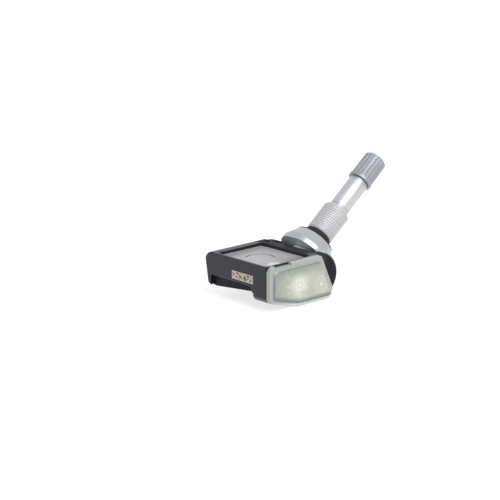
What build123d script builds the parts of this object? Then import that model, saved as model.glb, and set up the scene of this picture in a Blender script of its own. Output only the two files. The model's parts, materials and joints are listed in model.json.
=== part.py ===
from build123d import *
import math
import os

# Tyre pressure sensor with a swivelling clamp-in valve.
# Working frame: X = 0 on the window seat, Y = 0 on the front wall, Z = 0 on the floor.
# The finished pieces are shifted so that the origin is the bottom centre of the whole box.

# Length by which a cutting shape passes the face that it cuts
SPARE = 1.0
# How far from a level the middle of an edge may be to count as lying on it
ON_LEVEL = 0.01

# Case: walls and lands
RIM_HEIGHT = 19.6
LEFT_LAND = 8.15
BACK_LAND = 5.5
FRONT_WALL = 0.9
WINDOW_BAR = 1.0
FLOOR_THICKNESS = 2.75
UNDERSIDE_FALL = 2.7
LEFT_LEAN = 2.6
NOSE_RADIUS = 4.6
HEEL_RADIUS = 4.5
UPRIGHT_RADIUS = 0.8
NOSE_SPARE = 0.1
POCKET_RADIUS = 1.2
RIM_EASE = 0.25
DIMPLE_RADIUS = 1.3
DIMPLE_DEPTH = 2.0
DIMPLE_INSET_X = 7.75
DIMPLE_INSET_Y = 1.9

# Case: front ledge, end block, window seat
LEDGE_DROP = 10.0
LEDGE_SETBACK = 1.6
LEDGE_LEFT_POST = 4.45
LEDGE_RADIUS = 2.4
LEDGE_LEFT_RADIUS = 0.8
LEDGE_EASE = 0.3
END_BLOCK_LENGTH = 9.0
END_BLOCK_ROUND = 1.5
WINDOW_STEP = 1.7
WINDOW_FLARE = 9.0
KEEL_START = 16.1
WINDOW_CORNERS = (2.8, 1.8, 4.0, 2.0, 2.5)
WINDOW_LIP = 2.5
INNER_CORNER = 0.7
CHAMBER_DEPTH = 7.5

# Window
LID_THICKNESS = 2.0
LID_EASE = 0.35
PANE_INSET = 1.9
PANE_RISE = 0.8
PANE_BEVEL = 0.7
LID_NOTCH_START = 3.0
LID_NOTCH_LENGTH = 9.3
LID_NOTCH_DEPTH = 0.8
LID_BOSS_RADIUS = 4.0
LID_BOSS_FRONT = 16.5
LID_BOSS_DROP = 10.0
LID_STUD_RADIUS = 2.8
LID_STUD_FRONT = 29.0
LID_STUD_DROP = 12.0
LID_BOSS_HEIGHT = 1.2

# Resin fill
FILL_DROP = 1.7
FILL_THICKNESS = 1.7
GROOVE_RADIUS = 6.3
GROOVE_WIDTH = 0.4
GROOVE_DEPTH = 0.35
GROOVE_START = 59.0
GROOVE_SWEEP = 158.0

# Board and what stands on it
BOARD_THICKNESS = 1.0
BOARD_CLEARANCE = 1.0
BOARD_MARGIN = 0.3
BOARD_RADIUS = 0.8
POST_HEIGHT = 1.4
POST_RADIUS = 1.1
POST_INSET = 2.0
CELL_DIAMETER = 16.0
CELL_THICKNESS = 3.2
CELL_RIM_WIDTH = 0.9
CELL_RIM_DROP = 0.5
CELL_FRONT = 2.7
CELL_STANDOFF = 0.65
CELL_GAP = 0.6
TAB_THICKNESS = 0.15
TAB_WIDTH = 4.0
TAB_ZONE = 2.6
TAB_GAP = 0.35
TAB_FOOT = 1.2
TAB_BRIDGE = 8.0
COIL_WIDTH = 3.8
COIL_LENGTH = 11.0
COIL_HEIGHT = 3.4
COIL_FRONT = 4.1
COIL_GAP = 0.4
COIL_FLANGE = 1.4
COIL_BAR_WIDTH = 1.8
COIL_BAR_HEIGHT = 1.4
WINDING_BUILD = 0.7
WINDING_ROUND = 0.55
CHIP_SIZE = 6.0
CHIP_HEIGHT = 2.0
CHIP_PORT_RADIUS = 0.8
CHIP_PORT_DEPTH = 0.6
RING_RADIUS = 3.2
RING_BORE = 1.6
RING_PROUD = 0.2
RING_MARGIN = 0.1
PORT_FRONT = 7.5
FILTER_DROP = 0.4
FILTER_THICKNESS = 0.4
CRYSTAL_LENGTH = 3.2
CRYSTAL_WIDTH = 2.5
CRYSTAL_HEIGHT = 0.8
CRYSTAL_ROUND = 0.4
CRYSTAL_GAP = 1.6
CAPACITOR_LENGTH = 1.6
CAPACITOR_WIDTH = 0.8
CAPACITOR_HEIGHT = 0.8
CAPACITOR_PITCH = 1.5
CAPACITOR_ROWS = 3
CAPACITOR_GAP = 0.9
ANTENNA_ZONE = 1.8
ANTENNA_THICKNESS = 0.4
ANTENNA_HEIGHT = 2.0
ANTENNA_LIFT = 1.0
ANTENNA_LEG = 1.0
ANTENNA_INSET = 1.6

# Swivel saddle and ears
VALVE_OFFSET = 20.0
VALVE_ELEVATION = 38.6
PIVOT_SETBACK = 3.5
SADDLE_RADIUS = 8.0
SADDLE_WALL = 3.0
SEAT_GAP = 0.1
SADDLE_WEB = 2.2
EAR_GAP = 0.6
EAR_THICKNESS = 4.8
EAR_STEP = 1.6
EAR_FLAT = 0.8
EAR_ROUND = 1.8
ACCESS_WIDTH = 10.0
SWIVEL_RANGE = 15.0
SLOT_MARGIN = 0.5

# Fixing screw and washer
SCREW_RADIUS = 1.95
SCREW_CLEARANCE = 0.1
SCREW_HEAD_RADIUS = 3.3
SCREW_HEAD_HEIGHT = 2.6
SCREW_REACH = 8.4
SCREW_END_GAP = 0.4
SOCKET_RADIUS = 1.25
SOCKET_LOBE = 0.4
SOCKET_LOBES = 6
SOCKET_DEPTH = 1.5
WASHER_THICKNESS = 1.5
WASHER_LENGTH = 8.0
WASHER_WIDTH = 7.2

# Valve stem
FOOT_RADIUS = 5.9
FOOT_DEPTH = 3.2
COLLAR_LIFT = 0.1
COLLAR_RADIUS = 12.0
COLLAR_SIDES = 8
COLLAR_HEIGHT = 6.6
COLLAR_EDGE = 2.3
COLLAR_TOP_RADIUS = 10.0
SEAL_SEAT_RADIUS = 5.3
THREAD_RADIUS = 6.2
THREAD_LENGTH = 15.2
THREAD_CHAMFER = 1.3
THREAD_PITCH = 1.1
THREAD_DEPTH = 0.45
THREAD_CREST = 0.15
RELIEF_RADIUS = 4.25
RELIEF_LENGTH = 1.0
SHANK_RADIUS = 4.5
SHANK_LENGTH = 16.9
STEM_NOSE_RADIUS = 3.85
NOSE_LENGTH = 11.2
NOSE_CHAMFER = 0.4
AIR_BORE = 1.6
AIR_WEB = 0.7
VENT_RADIUS = 0.7

# Rubber seal
GROMMET_FLANGE = 1.3
GROMMET_FLANGE_RADIUS = 9.0
GROMMET_NECK = 2.9
GROMMET_NECK_RADIUS = 6.4
GROMMET_TAPER = 0.3
GROMMET_EASE = 0.4

# Valve core
CORE_BORE = 2.6
CORE_CLEARANCE = 0.1
CORE_DROP = 0.8
PLUG_LENGTH = 4.5
BARREL_RADIUS = 2.0
BARREL_BORE = 1.3
BARREL_LENGTH = 5.0
BARREL_FLOOR = 1.0
GASKET_CLEARANCE = 0.05
GASKET_LENGTH = 2.0
GASKET_DROP = 0.5
PIN_RADIUS = 0.6
PIN_CLEARANCE = 0.1
PIN_DROP = 0.4
PIN_TRAVEL = 1.5
SHOULDER_RADIUS = 1.1
SHOULDER_THICKNESS = 0.25
PLUNGER_RADIUS = 1.5
PLUNGER_THICKNESS = 0.6
CORE_SEAL_RADIUS = 1.8
CORE_SEAL_THICKNESS = 1.3
CORE_SEAT_GAP = 0.05
CHAMBER_SPARE = 0.4
SPRING_WIRE = 0.2
SPRING_RADIUS = 0.95
SPRING_TURNS = 4

# Valve cap
CAP_STANDOFF = 0.2
CAP_CLEARANCE = 0.1
CAP_RADIUS = 4.85
CAP_RING_RADIUS = 5.5
CAP_RING_HEIGHT = 1.6
CAP_RIBS = 14
CAP_RIB_RADIUS = 0.65
CAP_RIB_HEIGHT = 0.45
CAP_TOP = 1.6
CAP_TOP_CHAMFER = 0.6
CAP_SEAL_THICKNESS = 0.55
CAP_SEAL_GAP = 0.15
CAP_SEAL_CLEARANCE = 0.15

# Levels and places that follow from the sizes above
BOARD_LENGTH = (BOARD_MARGIN + COIL_WIDTH + COIL_GAP + CELL_DIAMETER + CELL_GAP
                + 2 * RING_RADIUS + RING_MARGIN)
BOARD_WIDTH = CELL_FRONT + CELL_DIAMETER + TAB_ZONE + ANTENNA_ZONE
TUB_LENGTH = BOARD_LENGTH + 2 * BOARD_CLEARANCE
TUB_WIDTH = BOARD_WIDTH + 2 * BOARD_CLEARANCE
BODY_LENGTH = LEFT_LAND + TUB_LENGTH + WINDOW_BAR
BODY_DEPTH = FRONT_WALL + TUB_WIDTH + BACK_LAND

FILL_TOP = RIM_HEIGHT - FILL_DROP
FILL_BOTTOM = FILL_TOP - FILL_THICKNESS
CELL_TOP = FILL_BOTTOM - TAB_THICKNESS
CELL_BOTTOM = CELL_TOP - CELL_THICKNESS
BOARD_TOP = CELL_BOTTOM - CELL_STANDOFF
BOARD_BOTTOM = BOARD_TOP - BOARD_THICKNESS
TUB_FLOOR = BOARD_BOTTOM - POST_HEIGHT
UNDERSIDE_RIGHT = TUB_FLOOR - FLOOR_THICKNESS
UNDERSIDE_LEFT = UNDERSIDE_RIGHT - UNDERSIDE_FALL

TUB_LEFT = -WINDOW_BAR - TUB_LENGTH
BOARD_LEFT = TUB_LEFT + BOARD_CLEARANCE
BOARD_RIGHT = BOARD_LEFT + BOARD_LENGTH
BOARD_FRONT = FRONT_WALL + BOARD_CLEARANCE
BOARD_BACK = BOARD_FRONT + BOARD_WIDTH
COIL_X = BOARD_LEFT + BOARD_MARGIN + COIL_WIDTH / 2
CELL_X = BOARD_LEFT + BOARD_MARGIN + COIL_WIDTH + COIL_GAP + CELL_DIAMETER / 2
CELL_Y = BOARD_FRONT + CELL_FRONT + CELL_DIAMETER / 2
PORT_X = BOARD_RIGHT - RING_MARGIN - RING_RADIUS
PORT_Y = BOARD_FRONT + PORT_FRONT

VALVE_X = -VALVE_OFFSET
PIVOT_Y = BODY_DEPTH + PIVOT_SETBACK
EAR_RADIUS = SADDLE_RADIUS + EAR_STEP
PIVOT_Z = EAR_RADIUS - EAR_FLAT
EAR_INNER = COLLAR_RADIUS + EAR_GAP
HOLLOW_RADIUS = SADDLE_RADIUS - SADDLE_WALL
ELEVATION = math.radians(VALVE_ELEVATION)
ACCESS_REACH = PIVOT_Z / math.sin(ELEVATION) + ACCESS_WIDTH

# Stations along the valve, measured from the swivel axis
AT_SEAT = SADDLE_RADIUS + SEAT_GAP
AT_COLLAR = AT_SEAT + COLLAR_LIFT
AT_GROMMET = AT_COLLAR + COLLAR_HEIGHT
AT_NECK = AT_GROMMET + GROMMET_FLANGE
AT_THREAD = AT_NECK + GROMMET_NECK
AT_SHANK = AT_THREAD + THREAD_LENGTH
AT_CAP = AT_SHANK + SHANK_LENGTH
AT_TIP = AT_CAP + NOSE_LENGTH
AT_CAP_SEAL = AT_TIP + CAP_SEAL_GAP
AT_CAP_INSIDE = AT_CAP_SEAL + CAP_SEAL_THICKNESS
AT_CAP_TIP = AT_CAP_INSIDE + CAP_TOP
AT_WASHER = HOLLOW_RADIUS - SEAT_GAP - WASHER_THICKNESS
AT_SCREW_END = AT_WASHER + SCREW_REACH
AT_SCREW_HOLE = AT_SCREW_END + SCREW_END_GAP
AT_AIR = AT_SCREW_HOLE + AIR_WEB
AT_PLUG_TOP = AT_TIP - CORE_DROP
AT_PLUG = AT_PLUG_TOP - PLUG_LENGTH
AT_BARREL = AT_PLUG - BARREL_LENGTH
AT_CORE_SEAL = AT_BARREL - CORE_SEAT_GAP - CORE_SEAL_THICKNESS
AT_PLUNGER = AT_CORE_SEAL - PLUNGER_THICKNESS
AT_CHAMBER = AT_PLUNGER - PIN_TRAVEL - CHAMBER_SPARE
AT_SHOULDER = AT_PLUG - CORE_SEAT_GAP - SHOULDER_THICKNESS

# Planes: the swivel axis runs along X, and the valve stands on VALVE with its axis as local Z
VALVE = Plane(
    origin=(VALVE_X, PIVOT_Y, PIVOT_Z),
    x_dir=(1, 0, 0),
    z_dir=(0, math.cos(ELEVATION), math.sin(ELEVATION)),
)
UP = (Align.CENTER, Align.CENTER, Align.MIN)
CORNER = (Align.MIN, Align.MIN, Align.MIN)


def block(x0, x1, y0, y1, z0, z1):
    """Box between two opposite corners."""
    return Pos(x0, y0, z0) * Box(x1 - x0, y1 - y0, z1 - z0, align=CORNER)


def post(x, y, z0, z1, radius):
    """Upright round post."""
    return Pos(x, y, z0) * Cylinder(radius, z1 - z0, align=UP)


def swivel_bar(radius, x0, x1):
    """Round bar along the swivel axis."""
    return Pos(x0, PIVOT_Y, PIVOT_Z) * Rot(0, 90, 0) * Cylinder(radius, x1 - x0, align=UP)


def rod(radius, low, high):
    """Round bar along the valve axis, between two stations."""
    return Pos(0, 0, low) * Cylinder(radius, high - low, align=UP)


def tube(radius, bore, low, high):
    """Round tube along the valve axis, between two stations."""
    return rod(radius, low, high) - rod(bore, low, high)


def turned(*points):
    """Turned piece from (radius, station) points of its half section."""
    return revolve(Plane.XZ * make_face(Polyline(*points, close=True)), Axis.Z)


def rounded(points, radii):
    """Polygon whose corners, in the order given, have the radii given."""
    face = make_face(Polyline(*points, close=True))
    for (x, y), radius in zip(points, radii):
        if radius:
            face = fillet(face.vertices().sort_by_distance((x, y, 0))[0], radius)
    return face


def edges_on(shape, axis, level):
    """Edges of a shape that lie on a level along an axis."""
    return shape.edges().filter_by_position(axis, level - ON_LEVEL, level + ON_LEVEL)


def end_outline(inset):
    """Outline of the window end in Y and Z, drawn in by an inset."""
    top = BODY_DEPTH - WINDOW_STEP
    points = [(0, RIM_HEIGHT), (top, RIM_HEIGHT), (top + WINDOW_FLARE, 0),
              (KEEL_START, 0), (0, UNDERSIDE_LEFT)]
    if not inset:
        return rounded(points, WINDOW_CORNERS)
    sharp = offset(make_face(Polyline(*points, close=True)), -inset, kind=Kind.INTERSECTION)
    corners = [tuple(sharp.vertices().sort_by_distance((y, z, 0))[0])[:2] for y, z in points]
    return rounded(corners, [max(radius - inset, INNER_CORNER) for radius in WINDOW_CORNERS])


def end_prism(inset, x0, x1):
    """Bar with the outline of the window end, from x0 to x1."""
    return extrude(Plane.YZ.offset(x0) * end_outline(inset), amount=x1 - x0)


def tub_plan():
    """Plan of the pocket and of the resin in it."""
    plan = Rectangle(TUB_LENGTH, TUB_WIDTH, align=(Align.MIN, Align.MIN))
    return Pos(TUB_LEFT, FRONT_WALL) * fillet(plan.vertices(), POCKET_RADIUS)


def case_body():
    """Main block: leaning left end with a bull nose, rising underside."""
    left = -BODY_LENGTH
    lean = LEFT_LEAN / (RIM_HEIGHT - UNDERSIDE_LEFT)
    over = RIM_HEIGHT + SPARE
    under = UNDERSIDE_LEFT - SPARE
    sides = make_face(Polyline((0, over), (left - SPARE * lean, over),
                               (left + LEFT_LEAN + SPARE * lean, under), (0, under), close=True))
    sides = extrude(Plane.XZ * sides, amount=-BODY_DEPTH)
    uprights = sides.faces().sort_by(Axis.X)[0].edges().filter_by(Axis.Y, reverse=True)
    sides = fillet(uprights, UPRIGHT_RADIUS)
    back = BODY_DEPTH - WINDOW_STEP
    step = make_face(Polyline((-END_BLOCK_LENGTH, BODY_DEPTH), (SPARE, BODY_DEPTH),
                              (SPARE, back), (0, back), close=True))
    sides -= extrude(Pos(0, 0, under) * step, amount=over - under)
    profile = rounded(
        [(SPARE, RIM_HEIGHT), (left - NOSE_SPARE, RIM_HEIGHT),
         (left + LEFT_LEAN - NOSE_SPARE, UNDERSIDE_LEFT),
         (-END_BLOCK_LENGTH, UNDERSIDE_RIGHT), (SPARE, UNDERSIDE_RIGHT)],
        (0, NOSE_RADIUS, HEEL_RADIUS, 0, 0))
    return sides & (Pos(0, -SPARE, 0) * extrude(Plane.XZ * profile, amount=-BODY_DEPTH - 2 * SPARE))


def ear(side):
    """Rounded cheek beside the collar; side is +1 at the window end and -1 at the left end."""
    cheek = rod(EAR_RADIUS, 0, EAR_THICKNESS)
    cheek = fillet(cheek.faces().sort_by(Axis.Z)[-1].edges(), EAR_ROUND)
    return Pos(VALVE_X + side * EAR_INNER, PIVOT_Y, PIVOT_Z) * Rot(0, side * 90, 0) * cheek


def front_recess():
    """Step under the front ledge, from the left post to the end block."""
    left = LEDGE_LEFT_POST - BODY_LENGTH
    right = -END_BLOCK_LENGTH
    top = RIM_HEIGHT - LEDGE_DROP
    shape = rounded([(left, top), (right, top), (right, 0), (left, 0)],
                    (LEDGE_LEFT_RADIUS, LEDGE_RADIUS, 0, 0))
    return extrude(Plane.XZ * shape, amount=-LEDGE_SETBACK)


def saddle_cuts():
    """Hollow behind the saddle wall, its slot for the screw, and the way in for a driver."""
    half = EAR_INNER - SADDLE_WEB
    hollow = swivel_bar(HOLLOW_RADIUS, VALVE_X - half, VALVE_X + half)
    swing = AT_SEAT * math.sin(math.radians(SWIVEL_RANGE))
    shank = SCREW_RADIUS + SLOT_MARGIN
    slot = Box(2 * shank, 2 * (shank + swing), AT_COLLAR, align=UP)
    access = Box(ACCESS_WIDTH, ACCESS_WIDTH, ACCESS_REACH,
                 align=(Align.CENTER, Align.CENTER, Align.MAX))
    return hollow + VALVE * slot + VALVE * access


def board_posts():
    """Four posts that carry the board."""
    xs = (BOARD_LEFT + POST_INSET, -CHAMBER_DEPTH - POST_INSET)
    ys = (BOARD_FRONT + POST_INSET, BOARD_BACK - POST_INSET)
    return [post(x, y, TUB_FLOOR, BOARD_BOTTOM, POST_RADIUS) for x in xs for y in ys]


def ledged_body():
    """Main block with the step cut out of its front, the ledge's edge eased."""
    body = case_body() - front_recess()
    left = LEDGE_LEFT_POST - BODY_LENGTH - ON_LEVEL
    ledge = edges_on(body, Axis.Y, 0).filter_by_position(Axis.X, left, -END_BLOCK_LENGTH)
    top = RIM_HEIGHT - LEDGE_DROP + ON_LEVEL
    return fillet(ledge.filter_by_position(Axis.Z, UNDERSIDE_LEFT, top), LEDGE_EASE)


def housing():
    end_block = end_prism(0, -END_BLOCK_LENGTH, 0)
    end_block = fillet(end_block.faces().sort_by(Axis.X)[0].edges(), END_BLOCK_ROUND)
    shape = ledged_body() + end_block
    shape += swivel_bar(SADDLE_RADIUS, VALVE_X - EAR_INNER, VALVE_X + EAR_INNER)
    shape += [ear(1), ear(-1)]
    shape -= block(-2 * BODY_LENGTH, BODY_LENGTH, 0, 2 * BODY_DEPTH, -RIM_HEIGHT, 0)
    shape -= extrude(Pos(0, 0, TUB_FLOOR) * tub_plan(), amount=RIM_HEIGHT - TUB_FLOOR)
    shape -= end_prism(WINDOW_LIP, -CHAMBER_DEPTH, 0)
    shape -= saddle_cuts()
    shape -= post(DIMPLE_INSET_X - BODY_LENGTH, BODY_DEPTH - DIMPLE_INSET_Y,
                  RIM_HEIGHT - DIMPLE_DEPTH, RIM_HEIGHT, DIMPLE_RADIUS)
    # All edges of the rim but those at the nose and at the window seat
    rim = edges_on(shape, Axis.Z, RIM_HEIGHT).sort_by(Axis.X)[1:-1]
    return fillet(rim, RIM_EASE) + board_posts()


def end_lid():
    flange = end_prism(0, 0, LID_THICKNESS)
    flange = fillet(flange.faces().sort_by(Axis.X)[-1].edges(), LID_EASE)
    pane = end_prism(PANE_INSET, 0, LID_THICKNESS + PANE_RISE)
    pane = chamfer(pane.faces().sort_by(Axis.X)[-1].edges(), PANE_BEVEL)
    notch = block(0, LID_THICKNESS, LID_NOTCH_START, LID_NOTCH_START + LID_NOTCH_LENGTH,
                  RIM_HEIGHT - LID_NOTCH_DEPTH, RIM_HEIGHT)
    boss = Rot(0, -90, 0) * rod(LID_BOSS_RADIUS, 0, LID_BOSS_HEIGHT)
    stud = Rot(0, -90, 0) * rod(LID_STUD_RADIUS, 0, LID_BOSS_HEIGHT)
    lid = flange + pane - notch
    lid += Pos(0, LID_BOSS_FRONT, RIM_HEIGHT - LID_BOSS_DROP) * boss
    lid += Pos(0, LID_STUD_FRONT, RIM_HEIGHT - LID_STUD_DROP) * stud
    return lid


def potting():
    slab = extrude(Pos(0, 0, FILL_BOTTOM) * tub_plan(), amount=FILL_THICKNESS)
    arc = trace(CenterArc((0, 0), GROOVE_RADIUS, GROOVE_START, GROOVE_SWEEP), GROOVE_WIDTH)
    groove = extrude(Pos(CELL_X, CELL_Y, FILL_TOP - GROOVE_DEPTH) * arc, amount=GROOVE_DEPTH)
    return slab - groove - post(PORT_X, PORT_Y, FILL_BOTTOM, FILL_TOP, RING_RADIUS)


def port_ring():
    top = FILL_TOP + RING_PROUD
    foot = BOARD_TOP + CHIP_HEIGHT
    return post(PORT_X, PORT_Y, foot, top, RING_RADIUS) - post(PORT_X, PORT_Y, foot, top, RING_BORE)


def port_filter():
    top = FILL_TOP + RING_PROUD - FILTER_DROP
    return post(PORT_X, PORT_Y, top - FILTER_THICKNESS, top, RING_BORE)


def circuit_board():
    plan = Rectangle(BOARD_LENGTH, BOARD_WIDTH, align=(Align.MIN, Align.MIN))
    plan = fillet(plan.vertices(), BOARD_RADIUS)
    return extrude(Pos(BOARD_LEFT, BOARD_FRONT, BOARD_BOTTOM) * plan, amount=BOARD_THICKNESS)


def sensor_chip():
    half = CHIP_SIZE / 2
    top = BOARD_TOP + CHIP_HEIGHT
    body = block(PORT_X - half, PORT_X + half, PORT_Y - half, PORT_Y + half, BOARD_TOP, top)
    return body - post(PORT_X, PORT_Y, top - CHIP_PORT_DEPTH, top, CHIP_PORT_RADIUS)


def coin_cell():
    radius = CELL_DIAMETER / 2
    shoulder = CELL_TOP - CELL_RIM_DROP
    can = post(CELL_X, CELL_Y, CELL_BOTTOM, shoulder, radius)
    return can + post(CELL_X, CELL_Y, shoulder, CELL_TOP, radius - CELL_RIM_WIDTH)


def bent_strip(rectangles):
    """Strip bent from sheet, as (y0, y1, z0, z1) flats across the middle of the cell."""
    x0 = CELL_X - TAB_WIDTH / 2
    flats = [block(x0, x0 + TAB_WIDTH, *flat) for flat in rectangles]
    return flats[0] + flats[1:]


def cell_tab_upper():
    riser = CELL_Y + CELL_DIAMETER / 2 + TAB_GAP
    outer = riser + TAB_THICKNESS
    return bent_strip([
        (CELL_Y - TAB_WIDTH / 2, outer, CELL_TOP, FILL_BOTTOM),
        (riser, outer, BOARD_TOP, FILL_BOTTOM),
        (riser, riser + TAB_FOOT, BOARD_TOP, BOARD_TOP + TAB_THICKNESS)])


def cell_tab_lower():
    front = CELL_Y - TAB_BRIDGE / 2
    back = CELL_Y + TAB_BRIDGE / 2
    under = CELL_BOTTOM - TAB_THICKNESS
    foot_top = BOARD_TOP + TAB_THICKNESS
    return bent_strip([
        (front, back, under, CELL_BOTTOM),
        (front, front + TAB_THICKNESS, BOARD_TOP, CELL_BOTTOM),
        (back - TAB_THICKNESS, back, BOARD_TOP, CELL_BOTTOM),
        (front - TAB_FOOT, front + TAB_THICKNESS, BOARD_TOP, foot_top),
        (back - TAB_THICKNESS, back + TAB_FOOT, BOARD_TOP, foot_top)])


def coil_bar(grow, y0, y1):
    """Bar through the middle of the wake-up coil, grown all round."""
    middle = BOARD_TOP + COIL_HEIGHT / 2
    half_width = COIL_BAR_WIDTH / 2 + grow
    half_height = COIL_BAR_HEIGHT / 2 + grow
    return block(COIL_X - half_width, COIL_X + half_width, y0, y1,
                 middle - half_height, middle + half_height)


def ferrite_core():
    front = BOARD_FRONT + COIL_FRONT
    back = front + COIL_LENGTH
    x0 = COIL_X - COIL_WIDTH / 2
    top = BOARD_TOP + COIL_HEIGHT
    flanges = [block(x0, x0 + COIL_WIDTH, y, y + COIL_FLANGE, BOARD_TOP, top)
               for y in (front, back - COIL_FLANGE)]
    return coil_bar(0, front, back) + flanges


def coil_winding():
    front = BOARD_FRONT + COIL_FRONT + COIL_FLANGE
    back = front + COIL_LENGTH - 2 * COIL_FLANGE
    coil = coil_bar(WINDING_BUILD, front, back)
    coil = fillet(coil.edges().filter_by(Axis.Y), WINDING_ROUND)
    return coil - coil_bar(0, front, back)


def crystal():
    y0 = PORT_Y + RING_RADIUS + CRYSTAL_GAP
    x0 = PORT_X - CRYSTAL_LENGTH / 2
    can = block(x0, x0 + CRYSTAL_LENGTH, y0, y0 + CRYSTAL_WIDTH, BOARD_TOP, BOARD_TOP + CRYSTAL_HEIGHT)
    return fillet(can.edges().filter_by(Axis.Z), CRYSTAL_ROUND)


def chip_capacitors():
    start = PORT_Y + RING_RADIUS + CRYSTAL_GAP + CRYSTAL_WIDTH + CAPACITOR_GAP
    top = BOARD_TOP + CAPACITOR_HEIGHT
    chips = []
    for row in range(CAPACITOR_ROWS):
        y0 = start + row * CAPACITOR_PITCH
        for x0 in (PORT_X - CAPACITOR_GAP / 2 - CAPACITOR_LENGTH, PORT_X + CAPACITOR_GAP / 2):
            chips.append(block(x0, x0 + CAPACITOR_LENGTH, y0, y0 + CAPACITOR_WIDTH, BOARD_TOP, top))
    return Compound(children=chips)


def antenna():
    y1 = BOARD_BACK - (ANTENNA_ZONE - ANTENNA_THICKNESS) / 2
    y0 = y1 - ANTENNA_THICKNESS
    left = BOARD_LEFT + ANTENNA_INSET
    right = BOARD_RIGHT - ANTENNA_INSET
    low = BOARD_TOP + ANTENNA_LIFT
    strip = block(left, right, y0, y1, low, low + ANTENNA_HEIGHT)
    legs = [block(x, x + ANTENNA_LEG, y0, y1, BOARD_TOP, low) for x in (left, right - ANTENNA_LEG)]
    return strip + legs


def collar():
    """Octagon with a coned top, flats square to the case."""
    plan = RegularPolygon(COLLAR_RADIUS, COLLAR_SIDES, rotation=180 / COLLAR_SIDES)
    prism = extrude(Pos(0, 0, AT_COLLAR) * plan, amount=COLLAR_HEIGHT)
    cone = turned((0, AT_COLLAR), (COLLAR_RADIUS, AT_COLLAR), (COLLAR_RADIUS, AT_COLLAR + COLLAR_EDGE),
                  (COLLAR_TOP_RADIUS, AT_GROMMET), (0, AT_GROMMET))
    return prism & cone


def thread_ridges():
    """Half section of the barrel's ridges, from the seal up to the chamfer."""
    root = THREAD_RADIUS - THREAD_DEPTH
    points = []
    for ridge in range(int((THREAD_LENGTH - THREAD_CHAMFER) / THREAD_PITCH)):
        middle = AT_THREAD + (ridge + 0.5) * THREAD_PITCH
        points.append((root, middle - THREAD_PITCH / 2))
        points.append((THREAD_RADIUS, middle - THREAD_CREST / 2))
        points.append((THREAD_RADIUS, middle + THREAD_CREST / 2))
    return points + [(root, middle + THREAD_PITCH / 2)]


def stem_shank():
    """Turned length above the collar: seal seat, threaded barrel, relief, shank and nose."""
    barrel = THREAD_RADIUS - THREAD_CHAMFER
    relief = AT_SHANK + RELIEF_LENGTH
    nose = AT_CAP - CAP_STANDOFF
    return turned(
        (0, AT_GROMMET), (SEAL_SEAT_RADIUS, AT_GROMMET), (SEAL_SEAT_RADIUS, AT_THREAD),
        *thread_ridges(), (THREAD_RADIUS - THREAD_DEPTH, AT_SHANK - THREAD_CHAMFER + THREAD_DEPTH),
        (barrel, AT_SHANK), (RELIEF_RADIUS, AT_SHANK), (RELIEF_RADIUS, relief), (SHANK_RADIUS, relief),
        (SHANK_RADIUS, nose), (STEM_NOSE_RADIUS, nose), (STEM_NOSE_RADIUS, AT_TIP - NOSE_CHAMFER),
        (STEM_NOSE_RADIUS - NOSE_CHAMFER, AT_TIP), (0, AT_TIP))


def valve_stem():
    foot = rod(FOOT_RADIUS, AT_COLLAR - FOOT_DEPTH, AT_COLLAR)
    saddle = Rot(0, 90, 0) * Cylinder(AT_SEAT, 2 * COLLAR_RADIUS)
    shape = foot - saddle + collar() + stem_shank()
    shape -= rod(SCREW_RADIUS + SCREW_CLEARANCE, 0, AT_SCREW_HOLE)
    shape -= rod(AIR_BORE, AT_AIR, AT_CHAMBER)
    shape -= rod(CORE_BORE, AT_CHAMBER, AT_TIP)
    vent = Pos(0, 0, AT_AIR + VENT_RADIUS) * Rot(-90, 0, 0) * rod(VENT_RADIUS, 0, COLLAR_RADIUS)
    return VALVE * (shape - vent)


def grommet():
    top = AT_THREAD
    ring = turned(
        (SEAL_SEAT_RADIUS, AT_GROMMET), (GROMMET_FLANGE_RADIUS - GROMMET_EASE, AT_GROMMET),
        (GROMMET_FLANGE_RADIUS, AT_GROMMET + GROMMET_EASE), (GROMMET_FLANGE_RADIUS, AT_NECK - GROMMET_EASE),
        (GROMMET_FLANGE_RADIUS - GROMMET_EASE, AT_NECK), (GROMMET_NECK_RADIUS, AT_NECK),
        (GROMMET_NECK_RADIUS - GROMMET_TAPER, top), (SEAL_SEAT_RADIUS, top))
    return VALVE * ring


def fixing_screw():
    head = rod(SCREW_HEAD_RADIUS, AT_WASHER - SCREW_HEAD_HEIGHT, AT_WASHER)
    low = AT_WASHER - SCREW_HEAD_HEIGHT
    lobe = rod(SOCKET_LOBE, low, low + SOCKET_DEPTH)
    lobes = [loc * lobe for loc in PolarLocations(SOCKET_RADIUS, SOCKET_LOBES)]
    socket = rod(SOCKET_RADIUS, low, low + SOCKET_DEPTH) + lobes
    return VALVE * (head + rod(SCREW_RADIUS, AT_WASHER, AT_SCREW_END) - socket)


def saddle_washer():
    pad = Rot(0, 90, 0) * Cylinder(HOLLOW_RADIUS - SEAT_GAP, WASHER_LENGTH)
    limit = Pos(0, 0, AT_WASHER) * Box(WASHER_LENGTH, WASHER_WIDTH, HOLLOW_RADIUS, align=UP)
    return VALVE * ((pad & limit) - rod(SCREW_RADIUS + SCREW_CLEARANCE, 0, AT_COLLAR))


def core_body():
    bore = PIN_RADIUS + PIN_CLEARANCE
    plug = tube(CORE_BORE - CORE_CLEARANCE, bore, AT_PLUG, AT_PLUG_TOP)
    barrel = tube(BARREL_RADIUS, BARREL_BORE, AT_BARREL + BARREL_FLOOR, AT_PLUG)
    floor = tube(BARREL_RADIUS, bore, AT_BARREL, AT_BARREL + BARREL_FLOOR)
    return VALVE * (plug + barrel + floor)


def core_gasket():
    top = AT_PLUG - GASKET_DROP
    return VALVE * tube(CORE_BORE - GASKET_CLEARANCE, BARREL_RADIUS, top - GASKET_LENGTH, top)


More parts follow.
